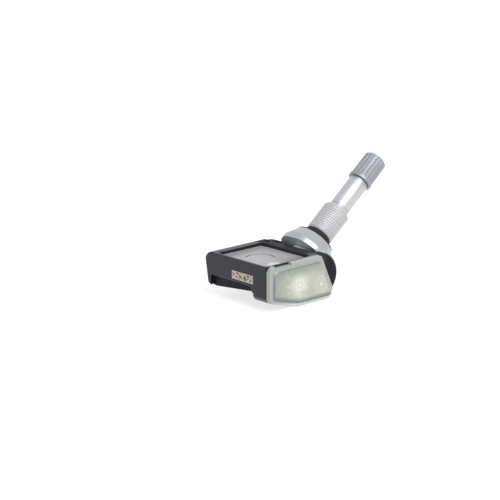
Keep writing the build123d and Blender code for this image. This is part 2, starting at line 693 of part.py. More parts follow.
def core_pin():
    pin = rod(PIN_RADIUS, AT_PLUNGER, AT_TIP - PIN_DROP)
    shoulder = rod(SHOULDER_RADIUS, AT_SHOULDER, AT_SHOULDER + SHOULDER_THICKNESS)
    return VALVE * (pin + shoulder + rod(PLUNGER_RADIUS, AT_PLUNGER, AT_CORE_SEAL))


def core_seal():
    return VALVE * tube(CORE_SEAL_RADIUS, PIN_RADIUS, AT_CORE_SEAL, AT_CORE_SEAL + CORE_SEAL_THICKNESS)


def core_spring():
    low = AT_BARREL + BARREL_FLOOR + SPRING_WIRE
    height = AT_SHOULDER - SPRING_WIRE - low
    path = Helix(height / SPRING_TURNS, height, SPRING_RADIUS)
    wire = Plane(origin=path @ 0, z_dir=path % 0) * Circle(SPRING_WIRE)
    return VALVE * Pos(0, 0, low) * sweep(wire, path)


def cap():
    """Cap with a plain ring at its mouth and ribs that run out at the coned top."""
    ring_top = AT_CAP + CAP_RING_HEIGHT
    crest = CAP_RADIUS + CAP_RIB_HEIGHT
    shell = turned((0, AT_CAP), (CAP_RING_RADIUS, AT_CAP), (CAP_RING_RADIUS, ring_top),
                   (CAP_RADIUS, ring_top), (CAP_RADIUS, AT_CAP_TIP), (0, AT_CAP_TIP))
    rib = rod(CAP_RIB_RADIUS, ring_top, AT_CAP_TIP)
    ribs = [loc * rib for loc in PolarLocations(crest - CAP_RIB_RADIUS, CAP_RIBS)]
    cone = turned((0, AT_CAP), (CAP_RING_RADIUS, AT_CAP), (CAP_RING_RADIUS, ring_top),
                  (crest, AT_CAP_TIP - CAP_TOP_CHAMFER), (crest - CAP_TOP_CHAMFER, AT_CAP_TIP),
                  (0, AT_CAP_TIP))
    mouth = rod(STEM_NOSE_RADIUS + CAP_CLEARANCE, AT_CAP, AT_CAP_INSIDE)
    return VALVE * (((shell + ribs) & cone) - mouth)


def cap_seal():
    radius = STEM_NOSE_RADIUS + CAP_CLEARANCE - CAP_SEAL_CLEARANCE
    return VALVE * rod(radius, AT_CAP_SEAL, AT_CAP_INSIDE)


MAKERS = (
    housing, end_lid, potting, port_ring, port_filter, circuit_board, sensor_chip, coin_cell,
    cell_tab_upper, cell_tab_lower, ferrite_core, coil_winding, crystal, chip_capacitors, antenna,
    valve_stem, grommet, fixing_screw, saddle_washer, core_body, core_gasket, core_pin, core_seal,
    core_spring, cap, cap_seal,
)
PIECES = {maker.__name__: maker() for maker in MAKERS}

# The origin is the bottom centre of the whole part
boxes = [piece.bounding_box() for piece in PIECES.values()]
SHIFT = Vector(
    -(min(box.min.X for box in boxes) + max(box.max.X for box in boxes)) / 2,
    -(min(box.min.Y for box in boxes) + max(box.max.Y for box in boxes)) / 2,
    -min(box.min.Z for box in boxes),
)

os.makedirs("parts", exist_ok=True)
for name, piece in PIECES.items():
    export_step(Pos(*SHIFT) * piece, f"parts/{name}.step")
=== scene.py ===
import json
import math

import bmesh
import bpy
from bpy.props import FloatProperty, FloatVectorProperty, IntProperty, PointerProperty
from bpy.types import Operator, Panel, PropertyGroup
from mathutils import Matrix, Vector, noise


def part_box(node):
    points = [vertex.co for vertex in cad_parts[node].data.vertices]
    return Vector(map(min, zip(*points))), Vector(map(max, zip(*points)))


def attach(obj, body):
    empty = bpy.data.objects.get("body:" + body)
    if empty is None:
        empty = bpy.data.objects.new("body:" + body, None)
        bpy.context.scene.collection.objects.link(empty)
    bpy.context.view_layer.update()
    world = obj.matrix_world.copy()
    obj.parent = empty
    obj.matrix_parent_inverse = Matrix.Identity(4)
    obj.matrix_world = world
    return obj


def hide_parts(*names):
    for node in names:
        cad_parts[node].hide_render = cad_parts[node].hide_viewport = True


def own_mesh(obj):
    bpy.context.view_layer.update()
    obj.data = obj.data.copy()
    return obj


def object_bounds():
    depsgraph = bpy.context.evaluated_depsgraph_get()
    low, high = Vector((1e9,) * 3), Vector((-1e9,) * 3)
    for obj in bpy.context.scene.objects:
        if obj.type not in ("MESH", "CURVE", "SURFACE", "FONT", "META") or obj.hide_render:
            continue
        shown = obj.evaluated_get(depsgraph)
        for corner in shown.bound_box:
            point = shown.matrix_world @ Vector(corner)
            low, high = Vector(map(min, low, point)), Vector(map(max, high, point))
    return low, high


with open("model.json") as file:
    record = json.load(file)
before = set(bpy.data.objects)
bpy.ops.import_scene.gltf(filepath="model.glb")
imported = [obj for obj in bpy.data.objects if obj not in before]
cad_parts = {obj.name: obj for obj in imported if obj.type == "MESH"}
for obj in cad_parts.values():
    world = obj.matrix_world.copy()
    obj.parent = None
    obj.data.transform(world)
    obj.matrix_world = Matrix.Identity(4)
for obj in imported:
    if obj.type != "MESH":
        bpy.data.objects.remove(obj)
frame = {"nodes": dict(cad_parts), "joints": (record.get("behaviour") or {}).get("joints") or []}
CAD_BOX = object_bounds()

bl_info = {
    "name": "Tyre pressure sensor",
    "version": (1, 0, 0),
    "blender": (4, 5, 0),
    "location": "3D View > Sidebar > Sensor",
    "description": "Dresses the packed tyre pressure sensor: case, window, resin, valve, cap and studio",
    "category": "Object",
}

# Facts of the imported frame
MM = 0.001
JOINTS = {joint["name"]: joint for joint in frame["joints"]}
PIVOT = Vector(JOINTS["valve_swivel"]["pos_m"])
AXIS = Vector(JOINTS["cap_rise"]["axis"]).normalized()
ACROSS = Vector(JOINTS["valve_swivel"]["axis"]).normalized()
VALVE = Matrix.Translation(PIVOT) @ Matrix((ACROSS, AXIS.cross(ACROSS), AXIS)).transposed().to_4x4()
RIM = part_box("housing")[1].z
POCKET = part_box("potting")
CELL = sum(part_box("coin_cell"), Vector()) / 2
PORT = sum(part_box("port_ring"), Vector()) / 2
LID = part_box("end_lid")

# How near points count as one, and how flat an edge is taken out
MERGE = 0.002 * MM
CAD_MERGE = 0.001 * MM
ON_PLANE = 0.0005 * MM
FLAT_ANGLE = math.radians(0.6)

# Small sizes of the forms
MENISCUS_WIDTH = 0.4 * MM
RIB_SPARE = 0.06 * MM
TOOTH = ((0.0, 0.0), (0.10, 0.0), (0.22, 0.35), (0.36, 0.88), (0.46, 1.0), (0.56, 1.0), (0.66, 0.88),
         (0.80, 0.35), (0.92, 0.0))

# Small sizes of the window's finish, in millimetres
WINDOW_SEAT = 1.2
SHORTEST_SIDE = 4.0
SLANT_CUT = 1.3

# Colours of the surrounding light on its two sides
WARM_LIGHT = (1.0, 0.99, 0.98)
COOL_LIGHT = (0.93, 0.98, 1.05)


def on_valve(node):
    """Vertices of a CAD node in the valve's own frame, Z along its axis."""
    back = VALVE.inverted()
    return [back @ vertex.co for vertex in frame["nodes"][node].data.vertices]


def span(node):
    """Lowest and highest station of a CAD node on the valve axis."""
    heights = [point.z for point in on_valve(node)]
    return min(heights), max(heights)


def reach(node, low, high):
    """Greatest radius of a CAD node between two stations on the valve axis."""
    return max(point.xy.length for point in on_valve(node) if low <= point.z <= high)


def wall(node, radius):
    """Lowest and highest station of a CAD node's round wall of a given radius."""
    heights = [point.z for point in on_valve(node) if abs(point.xy.length - radius) < 0.02 * MM]
    return min(heights), max(heights)


SEAL_LOW, SEAL_HIGH = span("grommet")
CAP_LOW, CAP_HIGH = span("cap")
STEM_TIP = span("valve_stem")[1]
CAP_ROOF = span("cap_seal")[1]
COLLAR_LOW = min(point.z for point in on_valve("valve_stem") if point.xy.length > 11.5 * MM)
COLLAR_RADIUS = reach("valve_stem", COLLAR_LOW, SEAL_LOW)
SCREW_BORE = min(point.xy.length for point in on_valve("valve_stem") if point.z < COLLAR_LOW - 0.5 * MM)
SEAL_RADIUS = reach("grommet", SEAL_LOW, SEAL_HIGH)
SEAL_TOP = reach("grommet", SEAL_HIGH - 0.05 * MM, SEAL_HIGH + 0.05 * MM)
BARREL_RADIUS = reach("valve_stem", SEAL_HIGH + 2 * MM, SEAL_HIGH + 8 * MM)
SHANK_RADIUS = reach("valve_stem", CAP_LOW - 2 * MM, CAP_LOW)
NOSE_RADIUS = reach("valve_stem", CAP_LOW + 2 * MM, STEM_TIP)
RING_RADIUS = reach("cap", CAP_LOW, CAP_HIGH)
RIB_RADIUS = reach("cap", CAP_HIGH - 3 * MM, CAP_HIGH)


def length(name, description, millimetres, low=0.0):
    """Length property with its default in millimetres."""
    return FloatProperty(name=name, description=description, default=millimetres * MM, min=low * MM,
                         unit="LENGTH", subtype="DISTANCE", precision=5)


def share(name, description, value, top=1.0):
    """Factor property between 0 and a top value."""
    return FloatProperty(name=name, description=description, default=value, min=0.0, max=top, subtype="FACTOR")


def tint(name, description, *colour):
    """Colour property, linear red, green and blue."""
    return FloatVectorProperty(name=name, description=description, default=colour, min=0.0, max=1.0,
                               size=3, subtype="COLOR")


def angle(name, description, degrees):
    """Angle property with its default in degrees."""
    return FloatProperty(name=name, description=description, default=math.radians(degrees), unit="ROTATION",
                         subtype="ANGLE")


class CaseSettings(PropertyGroup):
    colour: tint("Case", "Colour of the moulded case", 0.0035, 0.0040, 0.0075)
    # Colour of rubbed edges and scuffs, and of the painted highlight along the case's rounded edges
    worn_and_highlight: tint("Worn and highlighted edge", "Colour where edges are rubbed", 0.085, 0.078, 0.080)
    mark: tint("Mark", "Colour of the printed patch on the front wall", 0.44, 0.40, 0.36)
    ink: tint("Ink", "Colour of the dark specks on the patch", 0.055, 0.052, 0.052)
    roughness: share("Roughness", "Roughness of the moulded skin", 0.40)
    gloss: share("Gloss", "Weight of the smooth outer skin", 0.54)
    mark_left: length("Mark left", "Left end of the patch, from the window seat", 21.0)
    mark_right: length("Mark right", "Right end of the patch, from the window seat", 8.2)
    mark_top: length("Mark top", "Upper edge of the patch, below the rim", 5.4)
    mark_foot: length("Mark foot", "Lower edge of the patch, below the rim", 8.9)


class WindowSettings(PropertyGroup):
    colour: tint("Window", "Colour of the milky window at the front", 0.275, 0.31, 0.27)
    warm: tint("Warm side", "Colour of the milky window at the back", 0.415, 0.425, 0.36)
    frame: tint("Frame", "Colour of the flange round the pane", 0.325, 0.335, 0.315)
    # Painted light from below on the flange's lower edge
    foot: tint("Foot", "Colour of the flange at its lower edge", 0.48, 0.49, 0.46)
    gap: tint("Gap", "Colour of the dark joint on top of the flange", 0.02, 0.02, 0.022)
    core: tint("Bright core", "Colour over the round bosses behind the pane", 0.56, 0.575, 0.48)
    glint: tint("Glint", "Colour of the bosses' rings", 0.70, 0.71, 0.62)
    # Painted shade along the pane's edges; a little of it also goes into the skin's random tone
    shade: tint("Shade", "Colour of the thick inner edges", 0.15, 0.18, 0.17)
    foot_shade: share("Foot shade", "Darkness along the two lower edges", 0.85)
    top_shade: share("Top shade", "Darkness along the upper edge", 0.85)
    side_shade: share("Side shade", "Darkness along the front edge", 0.5)
    boss_front: length("Boss", "Large boss, from the front edge", 16.5)
    boss_drop: length("Boss drop", "Large boss, below the rim", 10.0)
    stud_front: length("Stud", "Small boss, from the front edge", 29.0)
    stud_drop: length("Stud drop", "Small boss, below the rim", 12.0)


class ResinSettings(PropertyGroup):
    colour: tint("Resin", "Colour of the cast resin", 0.385, 0.385, 0.39)
    pale: tint("Grains", "Colour of the pale grains", 0.58, 0.58, 0.58)
    # Painted shade in the curved crease over the cell
    crease: tint("Crease", "Colour of the curved crease", 0.045, 0.040, 0.040)
    ring: tint("Port ring", "Colour of the pressure port's ring", 0.58, 0.555, 0.545)
    ring_width: length("Ring width", "Width of the pressure port's ring", 1.6)
    pitch: length("Net", "Spacing of the surface's points", 0.2, 0.1)
    ripple: length("Ripple", "Height of the slow unevenness", 0.16)
    grain: length("Grain", "Height of the grains", 0.10)
    meniscus: length("Meniscus", "Rise of the resin at the walls", 0.35)
    corner: length("Corner", "Corner radius of the pocket", 1.2)
    groove_radius: length("Groove radius", "Radius of the curved crease over the cell", 6.3)
    groove_width: length("Groove width", "Width of the crease", 0.6)
    groove_depth: length("Groove depth", "Depth of the crease", 0.4)
    groove_from: angle("Groove start", "Where the crease begins, anticlockwise from X", 59.0)
    groove_to: angle("Groove end", "Where the crease ends", 217.0)

    def arc(self):
        """Direction of the crease's middle, and the cosine of its half angle."""
        middle = (self.groove_from + self.groove_to) / 2
        half = (self.groove_to - self.groove_from) / 2
        return Vector((math.cos(middle), math.sin(middle), 0.0)), math.cos(half)


class StemSettings(PropertyGroup):
    bright: tint("Stem", "Colour of the turned metal", 0.60, 0.60, 0.61)
    collar: tint("Collar", "Colour of the collar", 0.50, 0.52, 0.545)
    rim: length("Rim", "Height of the collar's straight rim", 1.8)
    rim_top: length("Rim top", "Radius of the collar's top", 9.15)
    recess: length("Recess", "Depth to which the rubber seal sits in the collar", 0.55)
    lip: length("Lip", "By how much the rim hangs below the collar's underside", 0.45)
    flat: length("Flat", "Distance of the flats from the axis", 11.25)
    vent: length("Vent", "Radius of the vent in the collar", 0.7)
    barrel: length("Barrel", "Outer radius of the large thread", BARREL_RADIUS / MM)
    barrel_length: length("Barrel length", "Length of the large thread", 15.2)
    thread_pitch: length("Pitch", "Pitch of the large thread", 1.1, 0.5)
    thread_depth: length("Depth", "Depth of the large thread", 0.45)
    lead: length("Lead", "Chamfer at the thread's end", 1.3)
    seat: length("Seat", "Radius under the rubber seal", 5.3)
    relief: length("Relief", "Radius of the groove above the large thread", 4.25)
    relief_length: length("Relief length", "Length of that groove", 1.0)
    shank: length("Shank", "Radius of the plain shank", SHANK_RADIUS / MM)
    nose: length("Nose", "Outer radius of the cap's thread", NOSE_RADIUS / MM)
    nose_pitch: length("Nose pitch", "Pitch of the cap's thread", 0.794, 0.5)
    nose_depth: length("Nose depth", "Depth of the cap's thread", 0.4)
    bore: length("Bore", "Radius of the bore for the core", 2.6)
    air: length("Air way", "Radius of the bore below the core", 1.6)


class SealSettings(PropertyGroup):
    colour: tint("Rubber", "Colour of the rubber", 0.009, 0.009, 0.010)
    flange: length("Flange", "Thickness of the flange", 1.3)
    seat: length("Seat", "Radius of the hole", 5.3)
    taper: length("Taper", "By how much the neck narrows upwards", 0.3)
    edge: length("Edge", "Width of the softened edges", 0.35)


class CapSettings(PropertyGroup):
    colour: tint("Cap", "Colour of the valve cap", 0.31, 0.325, 0.345)
    ribs: IntProperty(name="Ribs", description="Number of grip ribs", default=14, min=6)
    crest: length("Crest", "Height of the ribs", 0.32)
    rib: share("Rib", "Share of the pitch that a rib's crest takes", 0.68)
    ring: length("Ring", "Height of the plain ring at the mouth", 1.6)
    mouth: length("Mouth", "Radius of the hole", 3.95)
    top: length("Top", "Chamfer of the top", 0.6)
    edge: length("Edge", "Width of the softened edges", 0.14)


class StageSettings(PropertyGroup):
    floor: tint("Floor", "Colour of the floor", 0.32, 0.32, 0.32)
    table: share("Table", "Brightness of the lit table top", 0.74, 2.0)
    sky: share("Sky", "Brightness of the surrounding light", 0.82, 4.0)
    glow: share("Glow", "Extra brightness of the wall behind the part", 0.18, 4.0)
    glow_from: FloatVectorProperty(name="Glow from", description="Where the bright wall is",
                                   default=(-0.69, 0.67, 0.27), subtype="DIRECTION")
    key: FloatProperty(name="Key", description="Strength of the large soft light", default=2.1)
    key_from: FloatVectorProperty(name="Key from", description="Where the soft light comes from",
                                  default=(0.66, -0.14, 0.73), subtype="DIRECTION")
    spread: angle("Spread", "Width of the soft light", 34.0)
    lens: FloatProperty(name="Lens", description="Focal length", default=118.8, unit="CAMERA")
    camera_from: FloatVectorProperty(name="Camera", description="Camera's place, from the swivel's pivot",
                                     default=(0.48950, -0.47863, 0.19049), subtype="TRANSLATION", unit="LENGTH",
                                     precision=5)
    tilt: angle("Tilt", "How far the camera looks down", 14.94)
    turn: angle("Turn", "How far the camera is turned round the vertical", 47.22)


# Mesh tools

def outline(bm, points, closed=True):
    """Wire through (radius, height) points in the XZ plane."""
    verts = [bm.verts.new((radius, 0.0, height)) for radius, height in points]
    pairs = list(zip(verts, verts[1:]))
    if closed:
        pairs.append((verts[-1], verts[0]))
    return verts + [bm.edges.new(pair) for pair in pairs]


def clean(bm):
    """Merge what meets and turn the faces outwards."""
    bmesh.ops.remove_doubles(bm, verts=bm.verts, dist=MERGE)
    bmesh.ops.delete(bm, geom=[edge for edge in bm.edges if edge.is_wire], context="EDGES")
    bmesh.ops.recalc_face_normals(bm, faces=bm.faces)


def turned(points, steps=96):
    """Closed half section of (radius, height) points, spun round Z."""
    bm = bmesh.new()
    bmesh.ops.spin(bm, geom=outline(bm, points), cent=(0, 0, 0), axis=(0, 0, 1), dvec=(0, 0, 0),
                   angle=2 * math.pi, steps=steps, use_merge=True)
    clean(bm)
    return bm


def soften(bm, width, angle=28.0, segments=2):
    """Round over the edges that are sharper than an angle."""
    limit = math.radians(angle)
    edges = [edge for edge in bm.edges if edge.is_manifold and edge.calc_face_angle() > limit]
    bmesh.ops.bevel(bm, geom=edges, offset=width, offset_type="OFFSET", segments=segments, profile=0.5,
                    affect="EDGES", clamp_overlap=False, material=-1)


def only(kind, items):
    """Those of the items that are of one kind."""
    return [item for item in items if isinstance(item, kind)]


def cut(bm, point, normal, near=0.0):
    """Cut away what lies beyond a plane; the edges on the cut are returned."""
    made = bmesh.ops.bisect_plane(bm, geom=bm.verts[:] + bm.edges[:] + bm.faces[:], dist=near,
                                  plane_co=point, plane_no=normal, clear_outer=True)
    return only(bmesh.types.BMEdge, made["geom_cut"])


def plane_off(bm, point, normal, opening=()):
    """Cut away what lies beyond a plane and close the cut, save for an opening; its edges are returned."""
    edges = cut(bm, point, normal, ON_PLANE)
    verts = [bm.verts.new(place) for place in opening]
    ring = [bm.edges.new(pair) for pair in zip(verts, verts[1:] + verts[:1])]
    bmesh.ops.triangle_fill(bm, use_beauty=True, edges=edges + ring, normal=normal)
    return ring


def cad_copy(node):
    """Merged copy of a CAD node's mesh with its flat faces whole."""
    bm = bmesh.new()
    bm.from_mesh(frame["nodes"][node].data)
    bmesh.ops.remove_doubles(bm, verts=bm.verts, dist=CAD_MERGE)
    bmesh.ops.dissolve_limit(bm, angle_limit=FLAT_ANGLE, verts=bm.verts, edges=bm.edges)
    return bm


def piece(name, bm, body, material, replaced=(), place=None, sharp=35.0):
    """Finished object from a bmesh, riding on a body."""
    if place is not None:
        bmesh.ops.transform(bm, matrix=place, verts=bm.verts)
    mesh = bpy.data.meshes.new(name)
    bm.to_mesh(mesh)
    bm.free()
    mesh.materials.append(material)
    mesh.polygons.foreach_set("use_smooth", [True] * len(mesh.polygons))
    mesh.set_sharp_from_angle(angle=math.radians(sharp))
    obj = bpy.data.objects.new(name, mesh)
    bpy.context.scene.collection.objects.link(obj)
    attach(obj, body)
    if replaced:
        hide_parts(*replaced)
    return obj


def dress(node, material):
    """Give a CAD node its finish."""
    materials = frame["nodes"][node].data.materials
    materials.clear()
    materials.append(material)


# Shader tools

def wire(tree, node, sockets):
    """Feed a node's inputs: a socket is linked, a value is stored."""
    for key, value in sockets.items():
        if isinstance(value, bpy.types.NodeSocket):
            tree.links.new(value, node.inputs[key])
        else:
            node.inputs[key].default_value = value


def put(tree, kind, sockets=None, **settings):
    """New shader node with its settings and inputs."""
    node = tree.nodes.new("ShaderNode" + kind)
    for name, value in settings.items():
        setattr(node, name, value)
    wire(tree, node, sockets or {})
    return node


def calc(tree, operation, a, b=0.0, c=0.0):
    """Math node's result."""
    return put(tree, "Math", {0: a, 1: b, 2: c}, operation=operation).outputs[0]


def joined(tree, operation, values, extra=0.0):
    """Values taken together one by one with Math nodes."""
    result = values[0]
    for value in values[1:]:
        result = calc(tree, operation, result, value, extra)
    return result


def all_of(tree, masks):
    """Mask of what lies in all the masks."""
    return joined(tree, "MULTIPLY", masks)


def any_of(tree, masks):
    """Mask of what lies in any of the masks."""
    return joined(tree, "MAXIMUM", masks)


def times(tree, value, factor):
    """Value times a factor."""
    return calc(tree, "MULTIPLY", value, factor)


def ramp(tree, value, low, high, to_low=0.0, to_high=1.0):
    """Value taken smoothly from one range to another."""
    sockets = {"Value": value, "From Min": low, "From Max": high, "To Min": to_low, "To Max": to_high}
    return put(tree, "MapRange", sockets, interpolation_type="SMOOTHSTEP").outputs["Result"]


def band(tree, value, middle, half, edge):
    """Mask of the values within a band, soft at its edges."""
    off = calc(tree, "ABSOLUTE", calc(tree, "SUBTRACT", value, middle))
    return ramp(tree, off, half + edge, half - edge)


def blend(tree, factor, a, b):
    """Two colours mixed by a factor."""
    colours = {}
    for key, colour in ((6, a), (7, b)):
        colours[key] = colour if isinstance(colour, bpy.types.NodeSocket) else (*colour, 1.0)
    return put(tree, "Mix", {0: factor, **colours}, data_type="RGBA").outputs[2]


def dimmed(colour, factor):
    """Colour times a factor."""
    return [value * factor for value in colour]


def parts_of(tree, vector):
    """X, Y and Z of a vector."""
    return put(tree, "SeparateXYZ", {0: vector}).outputs


def facing(tree):
    """Direction that the surface faces."""
    return put(tree, "NewGeometry").outputs["Normal"]


def dot(tree, vector, direction):
    """Length of a vector along a direction."""
    return put(tree, "VectorMath", {0: vector, 1: direction}, operation="DOT_PRODUCT").outputs["Value"]


def away(tree, vector, place, axes):
    """Distance from a place, measured along the given axes only."""
    flat = put(tree, "VectorMath", {0: vector, 1: place}, operation="SUBTRACT").outputs[0]
    flat = put(tree, "VectorMath", {0: flat, 1: axes}, operation="MULTIPLY").outputs[0]
    return put(tree, "VectorMath", {0: flat}, operation="LENGTH").outputs["Value"]


def cloud(tree, vector, scale, detail, **more):
    """Noise texture's value."""
    return put(tree, "TexNoise", {"Vector": vector, "Scale": scale, "Detail": detail, **more}).outputs[0]


def bump(tree, height, millimetres, strength):
    """Normal of a Bump node over a height."""
    sockets = {"Height": height, "Distance": millimetres * MM, "Strength": strength}
    return put(tree, "Bump", sockets).outputs[0]


def shared(name, values, results, build):
    """Shader node group over a vector and some values, made once; build gets its tree and inputs."""
    if name in bpy.data.node_groups:
        return bpy.data.node_groups[name]
    tree = bpy.data.node_groups.new(name, "ShaderNodeTree")
    tree.interface.new_socket("Vector", in_out="INPUT", socket_type="NodeSocketVector")
    for label, default in values.items():
        socket = tree.interface.new_socket(label, in_out="INPUT", socket_type="NodeSocketFloat")
        socket.default_value = default
    for label in results:
        tree.interface.new_socket(label, in_out="OUTPUT", socket_type="NodeSocketFloat")
    given = tree.nodes.new("NodeGroupInput").outputs
    wire(tree, tree.nodes.new("NodeGroupOutput"), build(tree, given))
    return tree


def use(tree, group, **sockets):
    """Outputs of a shared group placed in a material."""
    return put(tree, "Group", sockets, node_tree=group).outputs


def skin_group():
    """Fine moulded skin with slow changes of tone."""
    def build(tree, given):
        vector = given["Vector"]
        slow = times(tree, cloud(tree, vector, 0.16, 2.0), 0.6)
        streak = times(tree, cloud(tree, vector, 0.7, 4.0, Distortion=0.6), 0.4)
        return {"Height": cloud(tree, vector, given["Scale"], 3.0),
                "Tone": ramp(tree, calc(tree, "ADD", slow, streak), 0.35, 0.65)}
    return shared("Moulded skin", {"Scale": 6.0}, ("Height", "Tone"), build)


def edge_wear_and_highlight_group():
    """Rubbed edges with painted edge highlights: mask where a rounded edge would turn away from the face,
    broken up by noise.
    """
    def build(tree, given):
        rounded = put(tree, "Bevel", {"Radius": given["Radius"]}, samples=6).outputs[0]
        edge = ramp(tree, dot(tree, rounded, facing(tree)), 0.99, 0.90)
        broken = ramp(tree, cloud(tree, given["Vector"], 1.4, 4.0), 0.25, 0.6, 0.4, 1.0)
        return {"Mask": all_of(tree, [edge, broken, given["Amount"]])}
    return shared("Rubbed and highlighted edges", {"Radius": 0.2 * MM, "Amount": 0.5}, ("Mask",), build)


def lathe_group():
    """Rings left by turning, along the local Z of a turned piece."""
    def build(tree, given):
        along = calc(tree, "MULTIPLY", parts_of(tree, given["Vector"])["Z"], given["Scale"])
        rings = put(tree, "TexNoise", {"W": along, "Scale": 1.0, "Detail": 4.0, "Roughness": 0.65},
                    noise_dimensions="1D").outputs[0]
        patch = cloud(tree, given["Vector"], 0.35, 2.0)
        tone = calc(tree, "ADD", times(tree, rings, 0.5), times(tree, patch, 0.5))
        return {"Height": rings, "Tone": ramp(tree, tone, 0.35, 0.65)}
    return shared("Turning marks", {"Scale": 6.0}, ("Height", "Tone"), build)


def dust_group():
    """Pale dust on faces that look up."""
    def build(tree, given):
        up = ramp(tree, parts_of(tree, facing(tree))["Z"], 0.2, 1.0)
        patchy = ramp(tree, cloud(tree, given["Vector"], 0.9, 5.0), 0.4, 0.75)
        return {"Mask": all_of(tree, [up, patchy, given["Amount"]])}
    return shared("Settled dust", {"Amount": 0.2}, ("Mask",), build)


# Finishes, with places in millimetres

def finish(name, place=Matrix.Identity(4)):
    """New material: its tree, its Principled shader and its millimetre coordinates in the frame of a place."""
    material = bpy.data.materials.new(name)
    material.use_nodes = True
    tree = material.node_tree
    back = place.inverted()
    point = put(tree, "Mapping", {"Vector": put(tree, "TexCoord").outputs["Object"], "Scale": (1 / MM,) * 3,
                                  "Rotation": back.to_euler(), "Location": back.to_translation() / MM})
    return material, tree, tree.nodes["Principled BSDF"], point.outputs[0]


def case_finish(settings):
    """Satin black moulding with a printed patch on the front wall."""
    material, tree, shader, point = finish("Moulded black")
    x, y, z = parts_of(tree, point)
    to_x, to_y, to_z = parts_of(tree, facing(tree))
    end, front, rim = CAD_BOX[0].x / MM, CAD_BOX[0].y / MM, RIM / MM
    seat, back = LID[0].x / MM + WINDOW_SEAT, POCKET[1].y / MM
    skin = use(tree, skin_group(), Vector=point, Scale=7.0)
    dust = use(tree, dust_group(), Vector=point, Amount=0.03)["Mask"]
    base = blend(tree, skin["Tone"], settings.colour, dimmed(settings.colour, 1.7))
    base = blend(tree, dust, base, (0.30, 0.30, 0.30))
    scuff = cloud(tree, point, 0.5, 6.0, Roughness=0.7)
    base = blend(tree, ramp(tree, scuff, 0.60, 0.75, 0.0, 0.25), base, settings.worn_and_highlight)

    # Painted highlight along the rounded edges, partly rubbed wear, and a painted highlight on the front wall's
    # eased edges, both in the worn colour
    edge_wear_and_highlight = use(tree, edge_wear_and_highlight_group(), Vector=point, Radius=0.35 * MM, Amount=0.5)["Mask"]
    eased_edge_highlight = all_of(tree, [ramp(tree, calc(tree, "ABSOLUTE", to_z), 0.15, 0.4), ramp(tree, to_y, -0.15, -0.4),
                          ramp(tree, y, front + 1.0, front + 0.6), ramp(tree, x, end + 4.0, end + 6.0)])
    base = blend(tree, any_of(tree, [edge_wear_and_highlight, times(tree, eased_edge_highlight, 0.9)]), base, settings.worn_and_highlight)

    spans = ((x, seat - settings.mark_left / MM, seat - settings.mark_right / MM),
             (z, rim - settings.mark_foot / MM, rim - settings.mark_top / MM))
    sides = [(value, (low + high) / 2, (high - low) / 2) for value, low, high in spans]
    patch = [band(tree, value, middle, half, 0.05) for value, middle, half in sides]
    patch = all_of(tree, [ramp(tree, y, front + 0.5, front + 0.3), *patch])
    field = all_of(tree, [band(tree, value, middle, half - 0.35, 0.05) for value, middle, half in sides])
    flat = put(tree, "CombineXYZ", {0: x, 1: z}).outputs[0]
    cell = put(tree, "TexVoronoi", {"Vector": flat, "Scale": 1.9, "Randomness": 0.75}, voronoi_dimensions="2D")
    speck = ramp(tree, put(tree, "SeparateColor", {0: cell.outputs["Color"]}).outputs[0], 0.40, 0.34)
    print_colour = blend(tree, calc(tree, "MULTIPLY", speck, field), settings.mark, settings.ink)

    recess = all_of(tree, [ramp(tree, y, front + 0.35, front + 0.6), ramp(tree, y, front + 3.0, front + 2.0),
                           ramp(tree, z, rim - 6.0, rim - 7.0)])
    seam = all_of(tree, [ramp(tree, x, seat - 0.8, seat - 0.3), ramp(tree, y, front + 1.0, front + 0.6)])
    ear = all_of(tree, [ramp(tree, y, LID[1].y / MM - 1.0, LID[1].y / MM + 1.0), ramp(tree, to_x, 0.5, 0.8)])
    shaded = all_of(tree, [ramp(tree, y, back - 0.6, back - 0.2), ramp(tree, to_z, 0.5, 0.8),
                           ramp(tree, x, LID[0].x / MM + 1.0, LID[0].x / MM - 5.0)])
    dull = any_of(tree, [recess, seam, times(tree, any_of(tree, [shaded, ear]), 0.8)])
    rough = ramp(tree, skin["Tone"], 0.0, 1.0, settings.roughness - 0.04, settings.roughness + 0.05)
    matt = times(tree, any_of(tree, [patch, shaded]), 0.2)
    wire(tree, shader, {"Base Color": blend(tree, patch, base, print_colour),
                        "Roughness": calc(tree, "ADD", rough, matt),
                        "Coat Weight": ramp(tree, dull, 0.0, 1.0, settings.gloss, 0.0),
                        "Coat Roughness": settings.roughness,
                        "Specular IOR Level": 0.15,
                        "Normal": bump(tree, skin["Height"], 0.010, 0.6)})
    return material


def pane_sides():
    """Straight sides of the pane's face: outward direction and distance from the origin, in millimetres."""
    face = [vertex.co / MM for vertex in frame["nodes"]["end_lid"].data.vertices
            if LID[1].x - vertex.co.x < 0.01 * MM]
    middle = sum(face, Vector()) / len(face)
    face.sort(key=lambda corner: math.atan2(corner.z - middle.z, corner.y - middle.y))
    sides = []
    for here, there in zip(face, face[1:] + face[:1]):
        along = there - here
        if along.length > SHORTEST_SIDE:
            out = Vector((0.0, along.z, -along.y)).normalized()
            sides.append((out, out.dot(here)))
    top = max(sides, key=lambda side: side[0].z)
    front = min(sides, key=lambda side: side[0].y)
    corner = Matrix((top[0].yz, front[0].yz)).inverted() @ Vector((top[1], front[1]))
    slant = (top[0] + front[0]).normalized()
    return sides + [(slant, slant.yz.dot(corner) - SLANT_CUT)]


